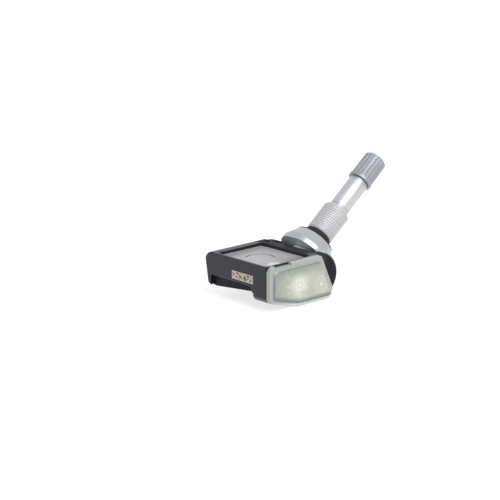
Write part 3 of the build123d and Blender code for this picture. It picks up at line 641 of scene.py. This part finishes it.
def window_finish(settings):
    """Milky moulded plastic: pale over the bosses behind it, with painted shade along the pane's edges, most at
    its lower edges, and painted light on the flange's lower edge.
    """
    material, tree, shader, point = finish("Window milky")
    x, y, z = parts_of(tree, point)
    edge, front, foot = LID[0] / MM
    skin = use(tree, skin_group(), Vector=point, Scale=4.0)
    depths, edges = [], []
    # Painted shade along each side of the pane: strongest at the two lower sides, less at the top and front,
    # faint elsewhere
    for out, far in pane_sides():
        strength, start, width = 0.15, -0.6, 0.8
        if out.z < -0.2:
            strength, start, width = settings.foot_shade, -1.35, 2.1
        elif out.z > 0.8:
            strength, start, width = settings.top_shade, -0.4, 0.6
        elif out.y < 0.0:
            strength, start, width = settings.side_shade, -0.8, 0.9
        inward = calc(tree, "SUBTRACT", far - start, dot(tree, point, out))
        if out.z > 0.8:
            # Painted shade that fades down from the pane's top edge
            top_edge_shade = ramp(tree, inward, 5.5, 0.5, 0.0, 0.85)
        edges.append(times(tree, ramp(tree, inward, 1.35 * width, 0.55 * width), strength))
        depths.append(inward)
    pane = ramp(tree, joined(tree, "SMOOTH_MIN", depths, 2.0), -0.2, 0.25)

    base = blend(tree, ramp(tree, y, front + 3.0, front + 15.0), settings.colour, settings.warm)
    base = blend(tree, times(tree, skin["Tone"], 0.15), base, settings.shade)
    slanted = put(tree, "Mapping", {"Vector": point, "Rotation": (0.7, 0.0, 0.0), "Scale": (1.0, 0.3, 1.0)})
    streak = all_of(tree, [ramp(tree, cloud(tree, slanted.outputs[0], 0.8, 2.0), 0.52, 0.68),
                           ramp(tree, y, front + 15.0, front + 11.0), ramp(tree, y, front + 5.0, front + 7.0)])
    base = blend(tree, times(tree, streak, 0.6), base, settings.core)
    uneven = times(tree, calc(tree, "SUBTRACT", cloud(tree, point, 0.6, 3.0), 0.5), 5.0)
    for ahead, drop, glow, weight, ring in ((settings.boss_front, settings.boss_drop, 6.2, 0.78, 2.2),
                                            (settings.stud_front, settings.stud_drop, 4.4, 0.15, 3.4)):
        place = (0.0, front + ahead / MM, (RIM - drop) / MM)
        radius = away(tree, point, place, (0.0, 1.0, 1.0))
        halo = ramp(tree, calc(tree, "ADD", radius, uneven), glow, glow * 0.4, 0.0, weight)
        base = blend(tree, halo, base, settings.core)
        rings = calc(tree, "ADD", times(tree, band(tree, radius, ring, 0.4, 0.35), 0.06 + 0.35 * weight),
                     ramp(tree, radius, 0.9, 0.25, 0.0, 0.8))
        base = blend(tree, rings, base, settings.glint)
    # Painted shade below the pane's top edge
    base = blend(tree, top_edge_shade, base, dimmed(settings.colour, 0.82))
    # Painted shade along the pane's sides
    base = blend(tree, any_of(tree, edges), base, settings.shade)

    # Flange lighter towards its lower edge: painted light from below
    rim = blend(tree, ramp(tree, z, foot + 5.0, foot + 1.0), settings.frame, settings.foot)
    rim = blend(tree, times(tree, skin["Tone"], 0.05), rim, settings.shade)
    gap = all_of(tree, [ramp(tree, parts_of(tree, facing(tree))["Z"], 0.6, 0.8),
                        ramp(tree, x, edge + 1.3, edge + 1.0)])
    rim = blend(tree, gap, rim, settings.gap)
    wire(tree, shader, {"Base Color": blend(tree, pane, rim, base),
                        "Subsurface Weight": 0.30,
                        "Subsurface Radius": (1.0, 1.0, 0.9),
                        "Subsurface Scale": 0.5 * MM,
                        "Roughness": ramp(tree, skin["Tone"], 0.0, 1.0, 0.26, 0.36),
                        "Normal": bump(tree, skin["Height"], 0.008, 0.5)})
    return material


def resin_finish(settings):
    """Rough cast resin with pale grains, with painted shade towards the left and back walls, over its right
    half and along the crease.
    """
    material, tree, shader, point = finish("Resin grey")
    x, y, _ = parts_of(tree, point)
    low, high = POCKET[0] / MM, POCKET[1] / MM
    middle = (low + high) / 2
    skin = use(tree, skin_group(), Vector=point, Scale=3.2)
    grain = put(tree, "TexVoronoi", {"Vector": point, "Scale": 2.6})
    speck = ramp(tree, grain.outputs["Distance"], 0.42, 0.16)
    coarse = cloud(tree, point, 1.0, 2.0, Roughness=0.7)
    base = blend(tree, skin["Tone"], dimmed(settings.colour, 0.9), dimmed(settings.colour, 1.1))
    base = blend(tree, ramp(tree, coarse, 0.38, 0.62, 0.45, 0.0), base, dimmed(settings.colour, 0.6))
    base = blend(tree, times(tree, speck, 0.45), base, settings.pale)

    # Painted shade towards the left and back walls and over the pocket's right half
    left = ramp(tree, x, low.x, low.x + 9.0, 0.75, 0.0)
    back = ramp(tree, y, high.y - 12.0, high.y, 0.0, 0.5)
    right = all_of(tree, [ramp(tree, x, middle.x - 4.0, high.x, 0.0, 0.95),
                          ramp(tree, y, middle.y - 4.0, middle.y + 7.0)])
    base = blend(tree, any_of(tree, [left, back, right]), base, dimmed(settings.colour, 0.45))

    radius = away(tree, point, CELL / MM, (1.0, 1.0, 0.0))
    heading, opening = settings.arc()
    ahead = calc(tree, "SUBTRACT", dot(tree, point, heading), heading.dot(CELL) / MM)
    # Painted shade along the curved crease
    crease = all_of(tree, [band(tree, radius, settings.groove_radius / MM, 0.42, 0.15),
                           ramp(tree, calc(tree, "DIVIDE", ahead, radius), opening - 0.05, opening + 0.15)])
    base = blend(tree, times(tree, crease, 0.9), base, settings.crease)
    wire(tree, shader, {"Base Color": base,
                        "Roughness": ramp(tree, skin["Tone"], 0.0, 1.0, 0.6, 0.8),
                        "Normal": bump(tree, calc(tree, "ADD", skin["Height"], speck), 0.04, 0.7)})
    return material


def pale_finish(settings):
    """Matt pale moulding of the port ring."""
    material, tree, shader, point = finish("Port pale")
    skin = use(tree, skin_group(), Vector=point, Scale=5.0)
    wire(tree, shader, {"Base Color": blend(tree, skin["Tone"], dimmed(settings.ring, 0.92), settings.ring),
                        "Roughness": ramp(tree, skin["Height"], 0.3, 0.7, 0.5, 0.66),
                        "Normal": bump(tree, skin["Height"], 0.010, 0.6)})
    return material


def metal_finish(name, colour, rough, rings, depth, metallic=1.0, dull_and_lit_below=None, root=None):
    """Turned metal with rings round the valve; dull with pale painted light below a station and where it looks
    down the axis, and painted shade inside a root radius.
    """
    material, tree, shader, point = finish(name, VALVE)
    marks = use(tree, lathe_group(), Vector=point, Scale=rings)
    base = blend(tree, marks["Tone"], dimmed(colour, 0.94), colour)
    # Painted shade in the thread's roots
    if root is not None:
        radius = away(tree, point, (0.0, 0.0, 0.0), (1.0, 1.0, 0.0))
        base = blend(tree, ramp(tree, radius, root / MM + 0.2, root / MM), base, dimmed(colour, 0.86))
    shine = metallic
    # Below the station and on faces looking down the axis: pale painted light, and less metallic
    if dull_and_lit_below is not None:
        station = dull_and_lit_below / MM
        under = any_of(tree, [ramp(tree, parts_of(tree, point)["Z"], station - 0.5, station - 0.8),
                              ramp(tree, dot(tree, facing(tree), AXIS), -0.5, -0.8)])
        base = blend(tree, under, base, (0.86, 0.87, 0.89))
        shine = ramp(tree, under, 0.0, 1.0, metallic, metallic * 0.15)
    wire(tree, shader, {"Base Color": base,
                        "Metallic": shine,
                        "Roughness": ramp(tree, marks["Tone"], 0.0, 1.0, rough + 0.04, rough - 0.03),
                        "Normal": bump(tree, marks["Height"], depth, 0.5)})
    return material


def rubber_finish(name, colour):
    """Matt moulded rubber."""
    material, tree, shader, point = finish(name)
    skin = use(tree, skin_group(), Vector=point, Scale=5.0)
    dust = use(tree, dust_group(), Vector=point, Amount=0.03)["Mask"]
    base = blend(tree, skin["Tone"], colour, dimmed(colour, 1.6))
    wire(tree, shader, {"Base Color": blend(tree, dust, base, (0.25, 0.25, 0.25)),
                        "Roughness": ramp(tree, skin["Tone"], 0.0, 1.0, 0.55, 0.7),
                        "Specular IOR Level": 0.25,
                        "Normal": bump(tree, skin["Height"], 0.015, 0.6)})
    return material


def cap_finish(settings):
    """Satin grey cap with a metallic sheen."""
    material, tree, shader, point = finish("Cap grey")
    skin = use(tree, skin_group(), Vector=point, Scale=6.0)
    # Edges lightened by the rubbed-edge mask: partly wear, partly painted edge highlight
    edge_wear_and_highlight = use(tree, edge_wear_and_highlight_group(), Vector=point, Amount=0.25)["Mask"]
    base = blend(tree, skin["Tone"], dimmed(settings.colour, 0.92), settings.colour)
    wire(tree, shader, {"Base Color": blend(tree, edge_wear_and_highlight, base, (0.50, 0.53, 0.57)),
                        "Roughness": ramp(tree, skin["Tone"], 0.0, 1.0, 0.46, 0.52),
                        "Metallic": 0.6,
                        "Normal": bump(tree, skin["Height"], 0.006, 0.5)})
    return material


def plain_finish(name, colour, rough, metallic=0.0, scale=5.0, depth=0.015):
    """Small inner part: a toned skin in its own colour."""
    material, tree, shader, point = finish(name)
    skin = use(tree, skin_group(), Vector=point, Scale=scale)
    wire(tree, shader, {"Base Color": blend(tree, skin["Tone"], dimmed(colour, 0.8), colour),
                        "Roughness": ramp(tree, skin["Tone"], 0.0, 1.0, rough, rough + 0.12),
                        "Metallic": metallic,
                        "Normal": bump(tree, skin["Height"], depth, 0.6)})
    return material


class SENSOR_OT_case(Operator):
    """Black moulded case with its printed patch"""
    bl_idname = "sensor.case"
    bl_label = "Case"

    def execute(self, context):
        black = case_finish(context.scene.sensor_case)
        piece("moulded_shell", cad_copy("housing"), "sensor_body", black, ("housing",),
              sharp=12.0)
        return {"FINISHED"}


class SENSOR_OT_window(Operator):
    """Milky window at the end of the case"""
    bl_idname = "sensor.window"
    bl_label = "Window"

    def execute(self, context):
        milky = window_finish(context.scene.sensor_window)
        piece("window_lid", cad_copy("end_lid"), "sensor_body", milky, ("end_lid",), sharp=12.0)
        return {"FINISHED"}


class SENSOR_OT_resin(Operator):
    """Cast resin in the pocket, with the pressure port's ring and filter"""
    bl_idname = "sensor.resin"
    bl_label = "Resin and port"

    def execute(self, context):
        settings = context.scene.sensor_resin
        low, high = POCKET
        size = high - low
        bm = bmesh.new()
        bmesh.ops.create_grid(bm, x_segments=round(size.x / settings.pitch),
                              y_segments=round(size.y / settings.pitch), size=0.5)
        bmesh.ops.scale(bm, vec=(size.x, size.y, 1.0), verts=bm.verts)
        bmesh.ops.translate(bm, vec=((low.x + high.x) / 2, (low.y + high.y) / 2, high.z), verts=bm.verts)
        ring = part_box("port_ring")
        bore = (ring[1].x - ring[0].x) / 2
        under_ring = [face for face in bm.faces if (face.calc_center_median() - PORT).xy.length < 0.8 * bore]
        bmesh.ops.delete(bm, geom=under_ring, context="FACES")
        for vertex in bm.verts:
            self.settle(vertex, settings, low, high, bore)
        made = bmesh.ops.extrude_face_region(bm, geom=bm.faces[:], use_keep_orig=True)["geom"]
        for vertex in only(bmesh.types.BMVert, made):
            vertex.co.z = low.z
        bmesh.ops.recalc_face_normals(bm, faces=bm.faces)
        piece("resin_fill", bm, "sensor_body", resin_finish(settings), ("potting",), sharp=60.0)

        hole = bore - settings.ring_width
        bm = turned([(hole, ring[0].z), (bore, ring[0].z), (bore, ring[1].z), (hole, ring[1].z)])
        soften(bm, 0.25 * MM, segments=3)
        piece("port_rim", bm, "sensor_body", pale_finish(settings), ("port_ring",),
              Matrix.Translation((PORT.x, PORT.y, 0.0)))
        dress("port_filter", plain_finish("Filter white", (0.55, 0.54, 0.52), 0.7, 0.0, 9.0, 0.08))
        return {"FINISHED"}

    def settle(self, vertex, settings, low, high, bore):
        """Round the pocket's corners and give the surface its height."""
        point = vertex.co
        middle = (low + high) / 2
        offset = Vector((point.x - middle.x, point.y - middle.y))
        half = Vector((high.x - middle.x, high.y - middle.y))
        corner = settings.corner
        beyond = Vector((abs(offset.x) - half.x + corner, abs(offset.y) - half.y + corner)) / corner
        to_wall = min(half.x - abs(offset.x), half.y - abs(offset.y))
        if beyond.x > 0 and beyond.y > 0:
            drawn = Vector((beyond.x * math.sqrt(1 - beyond.y ** 2 / 2),
                            beyond.y * math.sqrt(1 - beyond.x ** 2 / 2)))
            to_wall = corner * (1 - drawn.length)
            point.x = middle.x + math.copysign(half.x - corner + drawn.x * corner, offset.x)
            point.y = middle.y + math.copysign(half.y - corner + drawn.y * corner, offset.y)
        to_ring = max((point - PORT).xy.length - bore, 0.0)
        spot = point / MM
        height = settings.ripple * noise.noise(spot * 0.18)
        height += settings.grain * (noise.noise(spot * 1.3) + 0.6 * noise.noise(spot * 2.7))
        height += settings.meniscus * math.exp(-to_wall / MENISCUS_WIDTH)
        height += 0.5 * settings.meniscus * math.exp(-to_ring / MENISCUS_WIDTH)
        around = (point - CELL).xy
        heading, opening = settings.arc()
        ends = (heading.xy.dot(around) / max(around.length, MM) - opening) / 0.15
        if ends > 0.0:
            near = 1 - abs(around.length - settings.groove_radius) / settings.groove_width
            height -= settings.groove_depth * max(near, 0.0) * min(ends, 1.0)
        point.z = high.z + height


def thread(crest, depth, pitch, low, high, lead, inside, steps=72):
    """Sleeve with a helical ridge from one station to another, run out at its end."""
    bm = bmesh.new()
    turns = math.ceil((high - low) / pitch) + 2
    points = [(crest - depth + depth * rise, low + (turn - 1 + part) * pitch)
              for turn in range(turns) for part, rise in TOOTH]
    bmesh.ops.spin(bm, geom=outline(bm, points, closed=False), cent=(0, 0, 0), axis=(0, 0, 1),
                   dvec=(0, 0, pitch / steps), angle=2 * math.pi, steps=steps)
    clean(bm)
    cut(bm, (0, 0, low), (0, 0, -1))
    cut(bm, (0, 0, high), (0, 0, 1))
    for vertex in bm.verts:
        radius = vertex.co.xy.length
        limit = min(crest, crest - lead + (high - vertex.co.z), crest - lead / 2 + (vertex.co.z - low))
        if radius > limit:
            vertex.co.xy *= limit / radius
    rims = []
    for station in (low, high):
        edges = [edge for edge in bm.edges if edge.is_boundary
                 and all(abs(vertex.co.z - station) < 0.01 * MM for vertex in edge.verts)]
        made = bmesh.ops.extrude_edge_only(bm, edges=edges)["geom"]
        for vertex in only(bmesh.types.BMVert, made):
            vertex.co.xy *= inside / vertex.co.xy.length
        rims += [edge for edge in only(bmesh.types.BMEdge, made) if edge.is_boundary]
    bmesh.ops.bridge_loops(bm, edges=rims)
    clean(bm)
    return bm


class SENSOR_OT_stem(Operator):
    """Metal valve stem: coned collar with flats, threaded barrel, shank and threaded nose"""
    bl_idname = "sensor.stem"
    bl_label = "Valve stem"

    def execute(self, context):
        settings = context.scene.sensor_stem
        bm = self.collar(settings)
        self.foot(bm)
        satin = metal_finish("Collar aluminium", settings.collar, 0.40, 5.0, 0.003, 0.9, COLLAR_LOW + 0.05 * MM)
        self.part("stem_collar", bm, satin, 14.0)

        foot = SEAL_LOW + 0.1 * MM
        shoulder = SEAL_HIGH + settings.barrel_length
        relief = shoulder + settings.relief_length
        nose = CAP_LOW - 0.2 * MM
        bottom = settings.nose - settings.nose_depth
        chamber = wall("valve_stem", settings.bore)[0]
        bm = turned([(settings.air, foot), (settings.seat, foot), (settings.seat, SEAL_HIGH),
                     (settings.relief, SEAL_HIGH), (settings.relief, relief), (settings.shank, relief),
                     (settings.shank, nose), (bottom, nose), (bottom, STEM_TIP), (settings.bore, STEM_TIP),
                     (settings.bore, chamber), (settings.air, chamber)])
        soften(bm, 0.12 * MM)
        bright = metal_finish("Stem aluminium", settings.bright, 0.46, 9.0, 0.002)
        self.part("stem_shank", bm, bright, 35.0)

        matt = metal_finish("Thread aluminium", dimmed(settings.bright, 1.03), 0.62, 14.0, 0.002, 0.7,
                            root=settings.barrel - settings.thread_depth)
        bm = thread(settings.barrel, settings.thread_depth, settings.thread_pitch, SEAL_HIGH, shoulder,
                    settings.lead, settings.relief + 0.01 * MM)
        self.part("stem_thread", bm, matt, 50.0)
        bm = thread(settings.nose, settings.nose_depth, settings.nose_pitch, nose, STEM_TIP, 0.4 * MM,
                    bottom - 0.1 * MM, 48)
        self.part("nose_thread", bm, bright, 50.0)
        return {"FINISHED"}

    def part(self, name, bm, material, sharp):
        """Piece of the stem, moved from the valve's own frame."""
        piece(name, bm, "valve", material, ("valve_stem",), VALVE, sharp)

    def collar(self, settings):
        """Coned round collar with a flat on each of its four sides and the vent at its back."""
        low, seat = COLLAR_LOW, SEAL_LOW + 0.02 * MM
        top = seat + settings.recess
        hole, web = wall("valve_stem", SCREW_BORE)[1], wall("valve_stem", settings.air)[0]
        edge, under, rim = COLLAR_RADIUS, low - settings.lip, low + settings.rim
        rounded = [(edge - 0.2 * MM, under), (edge - 0.06 * MM, under + 0.06 * MM), (edge, under + 0.2 * MM),
                   (edge, rim - 0.15 * MM), (edge - 0.03 * MM, rim), (edge - 0.14 * MM, rim + 0.14 * MM)]
        pocket = SEAL_RADIUS + 0.03 * MM
        bm = turned([(SCREW_BORE, low), (SEAL_RADIUS, low), *rounded, (settings.rim_top, top), (pocket, top),
                     (pocket, seat), (settings.air, seat), (settings.air, web), (0.0, web), (0.0, hole),
                     (SCREW_BORE, hole)], 128)
        for quarter in range(4):
            turn = quarter * math.pi / 2
            out = Vector((math.cos(turn), math.sin(turn), 0.0))
            plane_off(bm, out * settings.flat, out)
        slope = (edge - settings.rim_top) / (top - rim)
        opening = []
        for step in range(24):
            turn = step * math.pi / 12
            height = web + settings.vent * (1 + math.sin(turn))
            spot = edge - slope * (height - rim) - 0.15 * MM
            opening.append(Vector((settings.vent * math.cos(turn), spot, height)))
        ring = plane_off(bm, opening[0], Vector((0.0, 1.0, slope)).normalized(), opening)
        made = bmesh.ops.extrude_edge_only(bm, edges=ring)["geom"]
        for vertex in only(bmesh.types.BMVert, made):
            vertex.co.y = settings.air
        end = [edge for edge in only(bmesh.types.BMEdge, made) if edge.is_boundary]
        bmesh.ops.edgeloop_fill(bm, edges=end)
        bmesh.ops.dissolve_limit(bm, angle_limit=FLAT_ANGLE, verts=bm.verts, edges=bm.edges)
        clean(bm)
        return bm

    def foot(self, bm):
        """Add the CAD stem's foot below the collar."""
        made = cad_copy("valve_stem")
        bmesh.ops.transform(made, matrix=VALVE.inverted(), verts=made.verts)
        rim = cut(made, (0, 0, COLLAR_LOW - 0.01 * MM), (0, 0, 1), ON_PLANE)
        for vertex in {vertex for edge in rim for vertex in edge.verts}:
            vertex.co.z += 0.05 * MM
        bmesh.ops.bridge_loops(made, edges=rim)
        mesh = bpy.data.meshes.new("foot")
        made.to_mesh(mesh)
        made.free()
        bm.from_mesh(mesh)
        bpy.data.meshes.remove(mesh)


class SENSOR_OT_seal(Operator):
    """Rubber seal between collar and rim"""
    bl_idname = "sensor.seal"
    bl_label = "Rubber seal"

    def execute(self, context):
        settings = context.scene.sensor_seal
        flange = SEAL_LOW + settings.flange
        bm = turned([(settings.seat, SEAL_LOW), (SEAL_RADIUS, SEAL_LOW), (SEAL_RADIUS, flange),
                     (SEAL_TOP + settings.taper, flange), (SEAL_TOP, SEAL_HIGH), (settings.seat, SEAL_HIGH)])
        soften(bm, settings.edge, segments=3)
        black = rubber_finish("Rubber black", settings.colour)
        piece("rubber_seal", bm, "valve", black, ("grommet",), VALVE)
        return {"FINISHED"}


class SENSOR_OT_cap(Operator):
    """Ribbed valve cap and its seal"""
    bl_idname = "sensor.cap"
    bl_label = "Valve cap"

    def execute(self, context):
        settings = context.scene.sensor_cap
        crest = RIB_RADIUS - RIB_SPARE
        ring = CAP_LOW + settings.ring
        rows = [CAP_HIGH - settings.top * row / 6 for row in range(6, -1, -1)]
        profile = [(settings.mouth, CAP_LOW), (RING_RADIUS, CAP_LOW), (RING_RADIUS, ring), (crest, ring)]
        profile += [(crest, row) for row in rows]
        profile += [(crest - settings.crest - settings.top, CAP_HIGH), (0.0, CAP_HIGH), (0.0, CAP_ROOF),
                    (settings.mouth, CAP_ROOF)]
        bm = turned(profile, settings.ribs * 16)
        sector = 2 * math.pi / settings.ribs
        for vertex in bm.verts:
            height = vertex.co.z
            radius = vertex.co.xy.length
            if height < ring - 0.01 * MM or abs(radius - crest) > 0.01 * MM:
                continue
            turn = (math.atan2(vertex.co.y, vertex.co.x) + sector / 2) % sector - sector / 2
            off_rib = abs(turn) / (sector / 2)
            flank = min(max((off_rib - settings.rib) / (1.0 - settings.rib), 0.0), 1.0)
            wanted = crest - settings.crest * flank * flank * (3 - 2 * flank) - 0.05 * MM * off_rib ** 2
            wanted = min(wanted, crest - settings.top + (CAP_HIGH - height))
            vertex.co.xy *= wanted / radius
        clean(bm)
        soften(bm, settings.edge, angle=50.0)
        piece("cap_shell", bm, "cap", cap_finish(settings), ("cap",), VALVE, 40.0)
        dress("cap_seal", rubber_finish("Cap rubber", (0.015, 0.015, 0.015)))
        return {"FINISHED"}


class SENSOR_OT_fixings(Operator):
    """Fixing screw, washer and valve core"""
    bl_idname = "sensor.fixings"
    bl_label = "Fixings and core"

    def execute(self, context):
        dress("fixing_screw", metal_finish("Screw steel", (0.50, 0.50, 0.51), 0.32, 7.0, 0.005))
        dress("saddle_washer", plain_finish("Washer steel", (0.52, 0.52, 0.53), 0.34, 1.0))
        dress("core_body", metal_finish("Core brass", (0.75, 0.56, 0.26), 0.30, 8.0, 0.005))
        dress("core_pin", metal_finish("Pin brass", (0.78, 0.60, 0.30), 0.26, 8.0, 0.004))
        steel = plain_finish("Spring steel", (0.58, 0.58, 0.59), 0.28, 1.0)
        coil = piece("core_coil", cad_copy("core_spring"), "valve", steel, ("core_spring",))
        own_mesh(coil)
        for node in ("core_gasket", "core_seal"):
            dress(node, rubber_finish("Core rubber " + node, (0.22, 0.03, 0.02)))
        return {"FINISHED"}


class SENSOR_OT_inside(Operator):
    """Board, cell, coil and the other parts inside the case"""
    bl_idname = "sensor.inside"
    bl_label = "Inner parts"

    def execute(self, context):
        for node, name, *look in (
                ("circuit_board", "Board green", (0.02, 0.16, 0.07), 0.3),
                ("sensor_chip", "Chip black", (0.02, 0.02, 0.02), 0.5),
                ("coin_cell", "Cell steel", (0.70, 0.71, 0.72), 0.26, 1.0),
                ("ferrite_core", "Ferrite dark", (0.05, 0.05, 0.055), 0.6, 0.0, 4.0, 0.03),
                ("coil_winding", "Copper wire", (0.70, 0.30, 0.14), 0.3, 1.0, 5.0, 0.05),
                ("crystal", "Crystal can", (0.74, 0.72, 0.67), 0.24, 1.0),
                ("chip_capacitors", "Ceramic tan", (0.42, 0.28, 0.17), 0.5)):
            dress(node, plain_finish(name, *look))
        nickel = plain_finish("Tab nickel", (0.68, 0.66, 0.62), 0.3, 1.0)
        for node in ("cell_tab_upper", "cell_tab_lower", "antenna"):
            dress(node, nickel)
        return {"FINISHED"}


class SENSOR_OT_stage(Operator):
    """Pale floor, soft light and the camera"""
    bl_idname = "sensor.stage"
    bl_label = "Stage"

    def execute(self, context):
        settings = context.scene.sensor_stage
        self.table(context.scene, settings)
        self.light(context.scene, settings)
        self.camera(context.scene, settings)
        return {"FINISHED"}

    def table(self, scene, settings):
        """Pale floor that glows like a light table."""
        bm = bmesh.new()
        bmesh.ops.create_grid(bm, x_segments=1, y_segments=1, size=4.0)
        mesh = bpy.data.meshes.new("floor")
        bm.to_mesh(mesh)
        bm.free()
        material = bpy.data.materials.new("Floor white")
        material.use_nodes = True
        tree = material.node_tree
        wire(tree, tree.nodes["Principled BSDF"], {"Base Color": (*settings.floor, 1.0),
                                                   "Emission Color": (1.0, 1.0, 1.0, 1.0),
                                                   "Emission Strength": settings.table,
                                                   "Roughness": 0.9,
                                                   "Specular IOR Level": 0.1})
        mesh.materials.append(material)
        floor = bpy.data.objects.new("floor", mesh)
        scene.collection.objects.link(floor)

    def light(self, scene, settings):
        """Even surrounding light with a brighter wall, and one large soft lamp."""
        world = bpy.data.worlds.new("Studio")
        world.use_nodes = True
        scene.world = world
        tree = world.node_tree
        direction = put(tree, "TexCoord").outputs["Generated"]
        lit = ramp(tree, dot(tree, direction, settings.glow_from), 0.35, 0.95, 0.0, settings.glow)
        side = ramp(tree, dot(tree, direction, (-0.70, -0.71, 0.0)), -0.6, 0.9)
        wire(tree, tree.nodes["Background"], {"Color": blend(tree, side, WARM_LIGHT, COOL_LIGHT),
                                              "Strength": calc(tree, "ADD", lit, settings.sky)})
        light = bpy.data.lights.new("key", "SUN")
        light.energy = settings.key
        light.angle = settings.spread
        lamp = bpy.data.objects.new("key", light)
        lamp.rotation_euler = (-Vector(settings.key_from)).to_track_quat("-Z", "Y").to_euler()
        scene.collection.objects.link(lamp)

    def camera(self, scene, settings):
        """Camera at the photograph's place and angle."""
        lens = bpy.data.cameras.new("camera")
        lens.lens = settings.lens
        lens.sensor_width = 36.0
        lens.clip_start, lens.clip_end = 0.01, 50.0
        camera = bpy.data.objects.new("camera", lens)
        camera.location = PIVOT + Vector(settings.camera_from)
        camera.rotation_euler = (math.pi / 2 - settings.tilt, 0.0, settings.turn)
        scene.collection.objects.link(camera)
        scene.camera = camera
        scene.view_settings.view_transform = "Standard"


SETTINGS = {"sensor_case": CaseSettings, "sensor_window": WindowSettings, "sensor_resin": ResinSettings,
            "sensor_stem": StemSettings, "sensor_seal": SealSettings, "sensor_cap": CapSettings,
            "sensor_stage": StageSettings}
OPERATORS = (SENSOR_OT_case, SENSOR_OT_window, SENSOR_OT_resin, SENSOR_OT_stem, SENSOR_OT_seal, SENSOR_OT_cap,
             SENSOR_OT_fixings, SENSOR_OT_inside, SENSOR_OT_stage)


class SENSOR_PT_panel(Panel):
    """Buttons for each piece and its sizes and colours"""
    bl_idname = "SENSOR_PT_panel"
    bl_label = "Tyre pressure sensor"
    bl_space_type = "VIEW_3D"
    bl_region_type = "UI"
    bl_category = "Sensor"

    def draw(self, context):
        for operator in OPERATORS:
            self.layout.operator(operator.bl_idname)
        for name, group in SETTINGS.items():
            box = self.layout.box()
            for prop in group.__annotations__:
                box.prop(getattr(context.scene, name), prop)


def register():
    for cls in (*SETTINGS.values(), *OPERATORS, SENSOR_PT_panel):
        bpy.utils.register_class(cls)
    for name, group in SETTINGS.items():
        setattr(bpy.types.Scene, name, PointerProperty(type=group))


def unregister():
    for name in SETTINGS:
        delattr(bpy.types.Scene, name)
    for cls in (SENSOR_PT_panel, *reversed(OPERATORS), *reversed(SETTINGS.values())):
        bpy.utils.unregister_class(cls)


def main():
    register()
    bpy.ops.sensor.case()
    bpy.ops.sensor.window()
    bpy.ops.sensor.resin()
    bpy.ops.sensor.stem()
    bpy.ops.sensor.seal()
    bpy.ops.sensor.cap()
    bpy.ops.sensor.fixings()
    bpy.ops.sensor.inside()
    bpy.ops.sensor.stage()


if __name__ == "__main__":
    main()
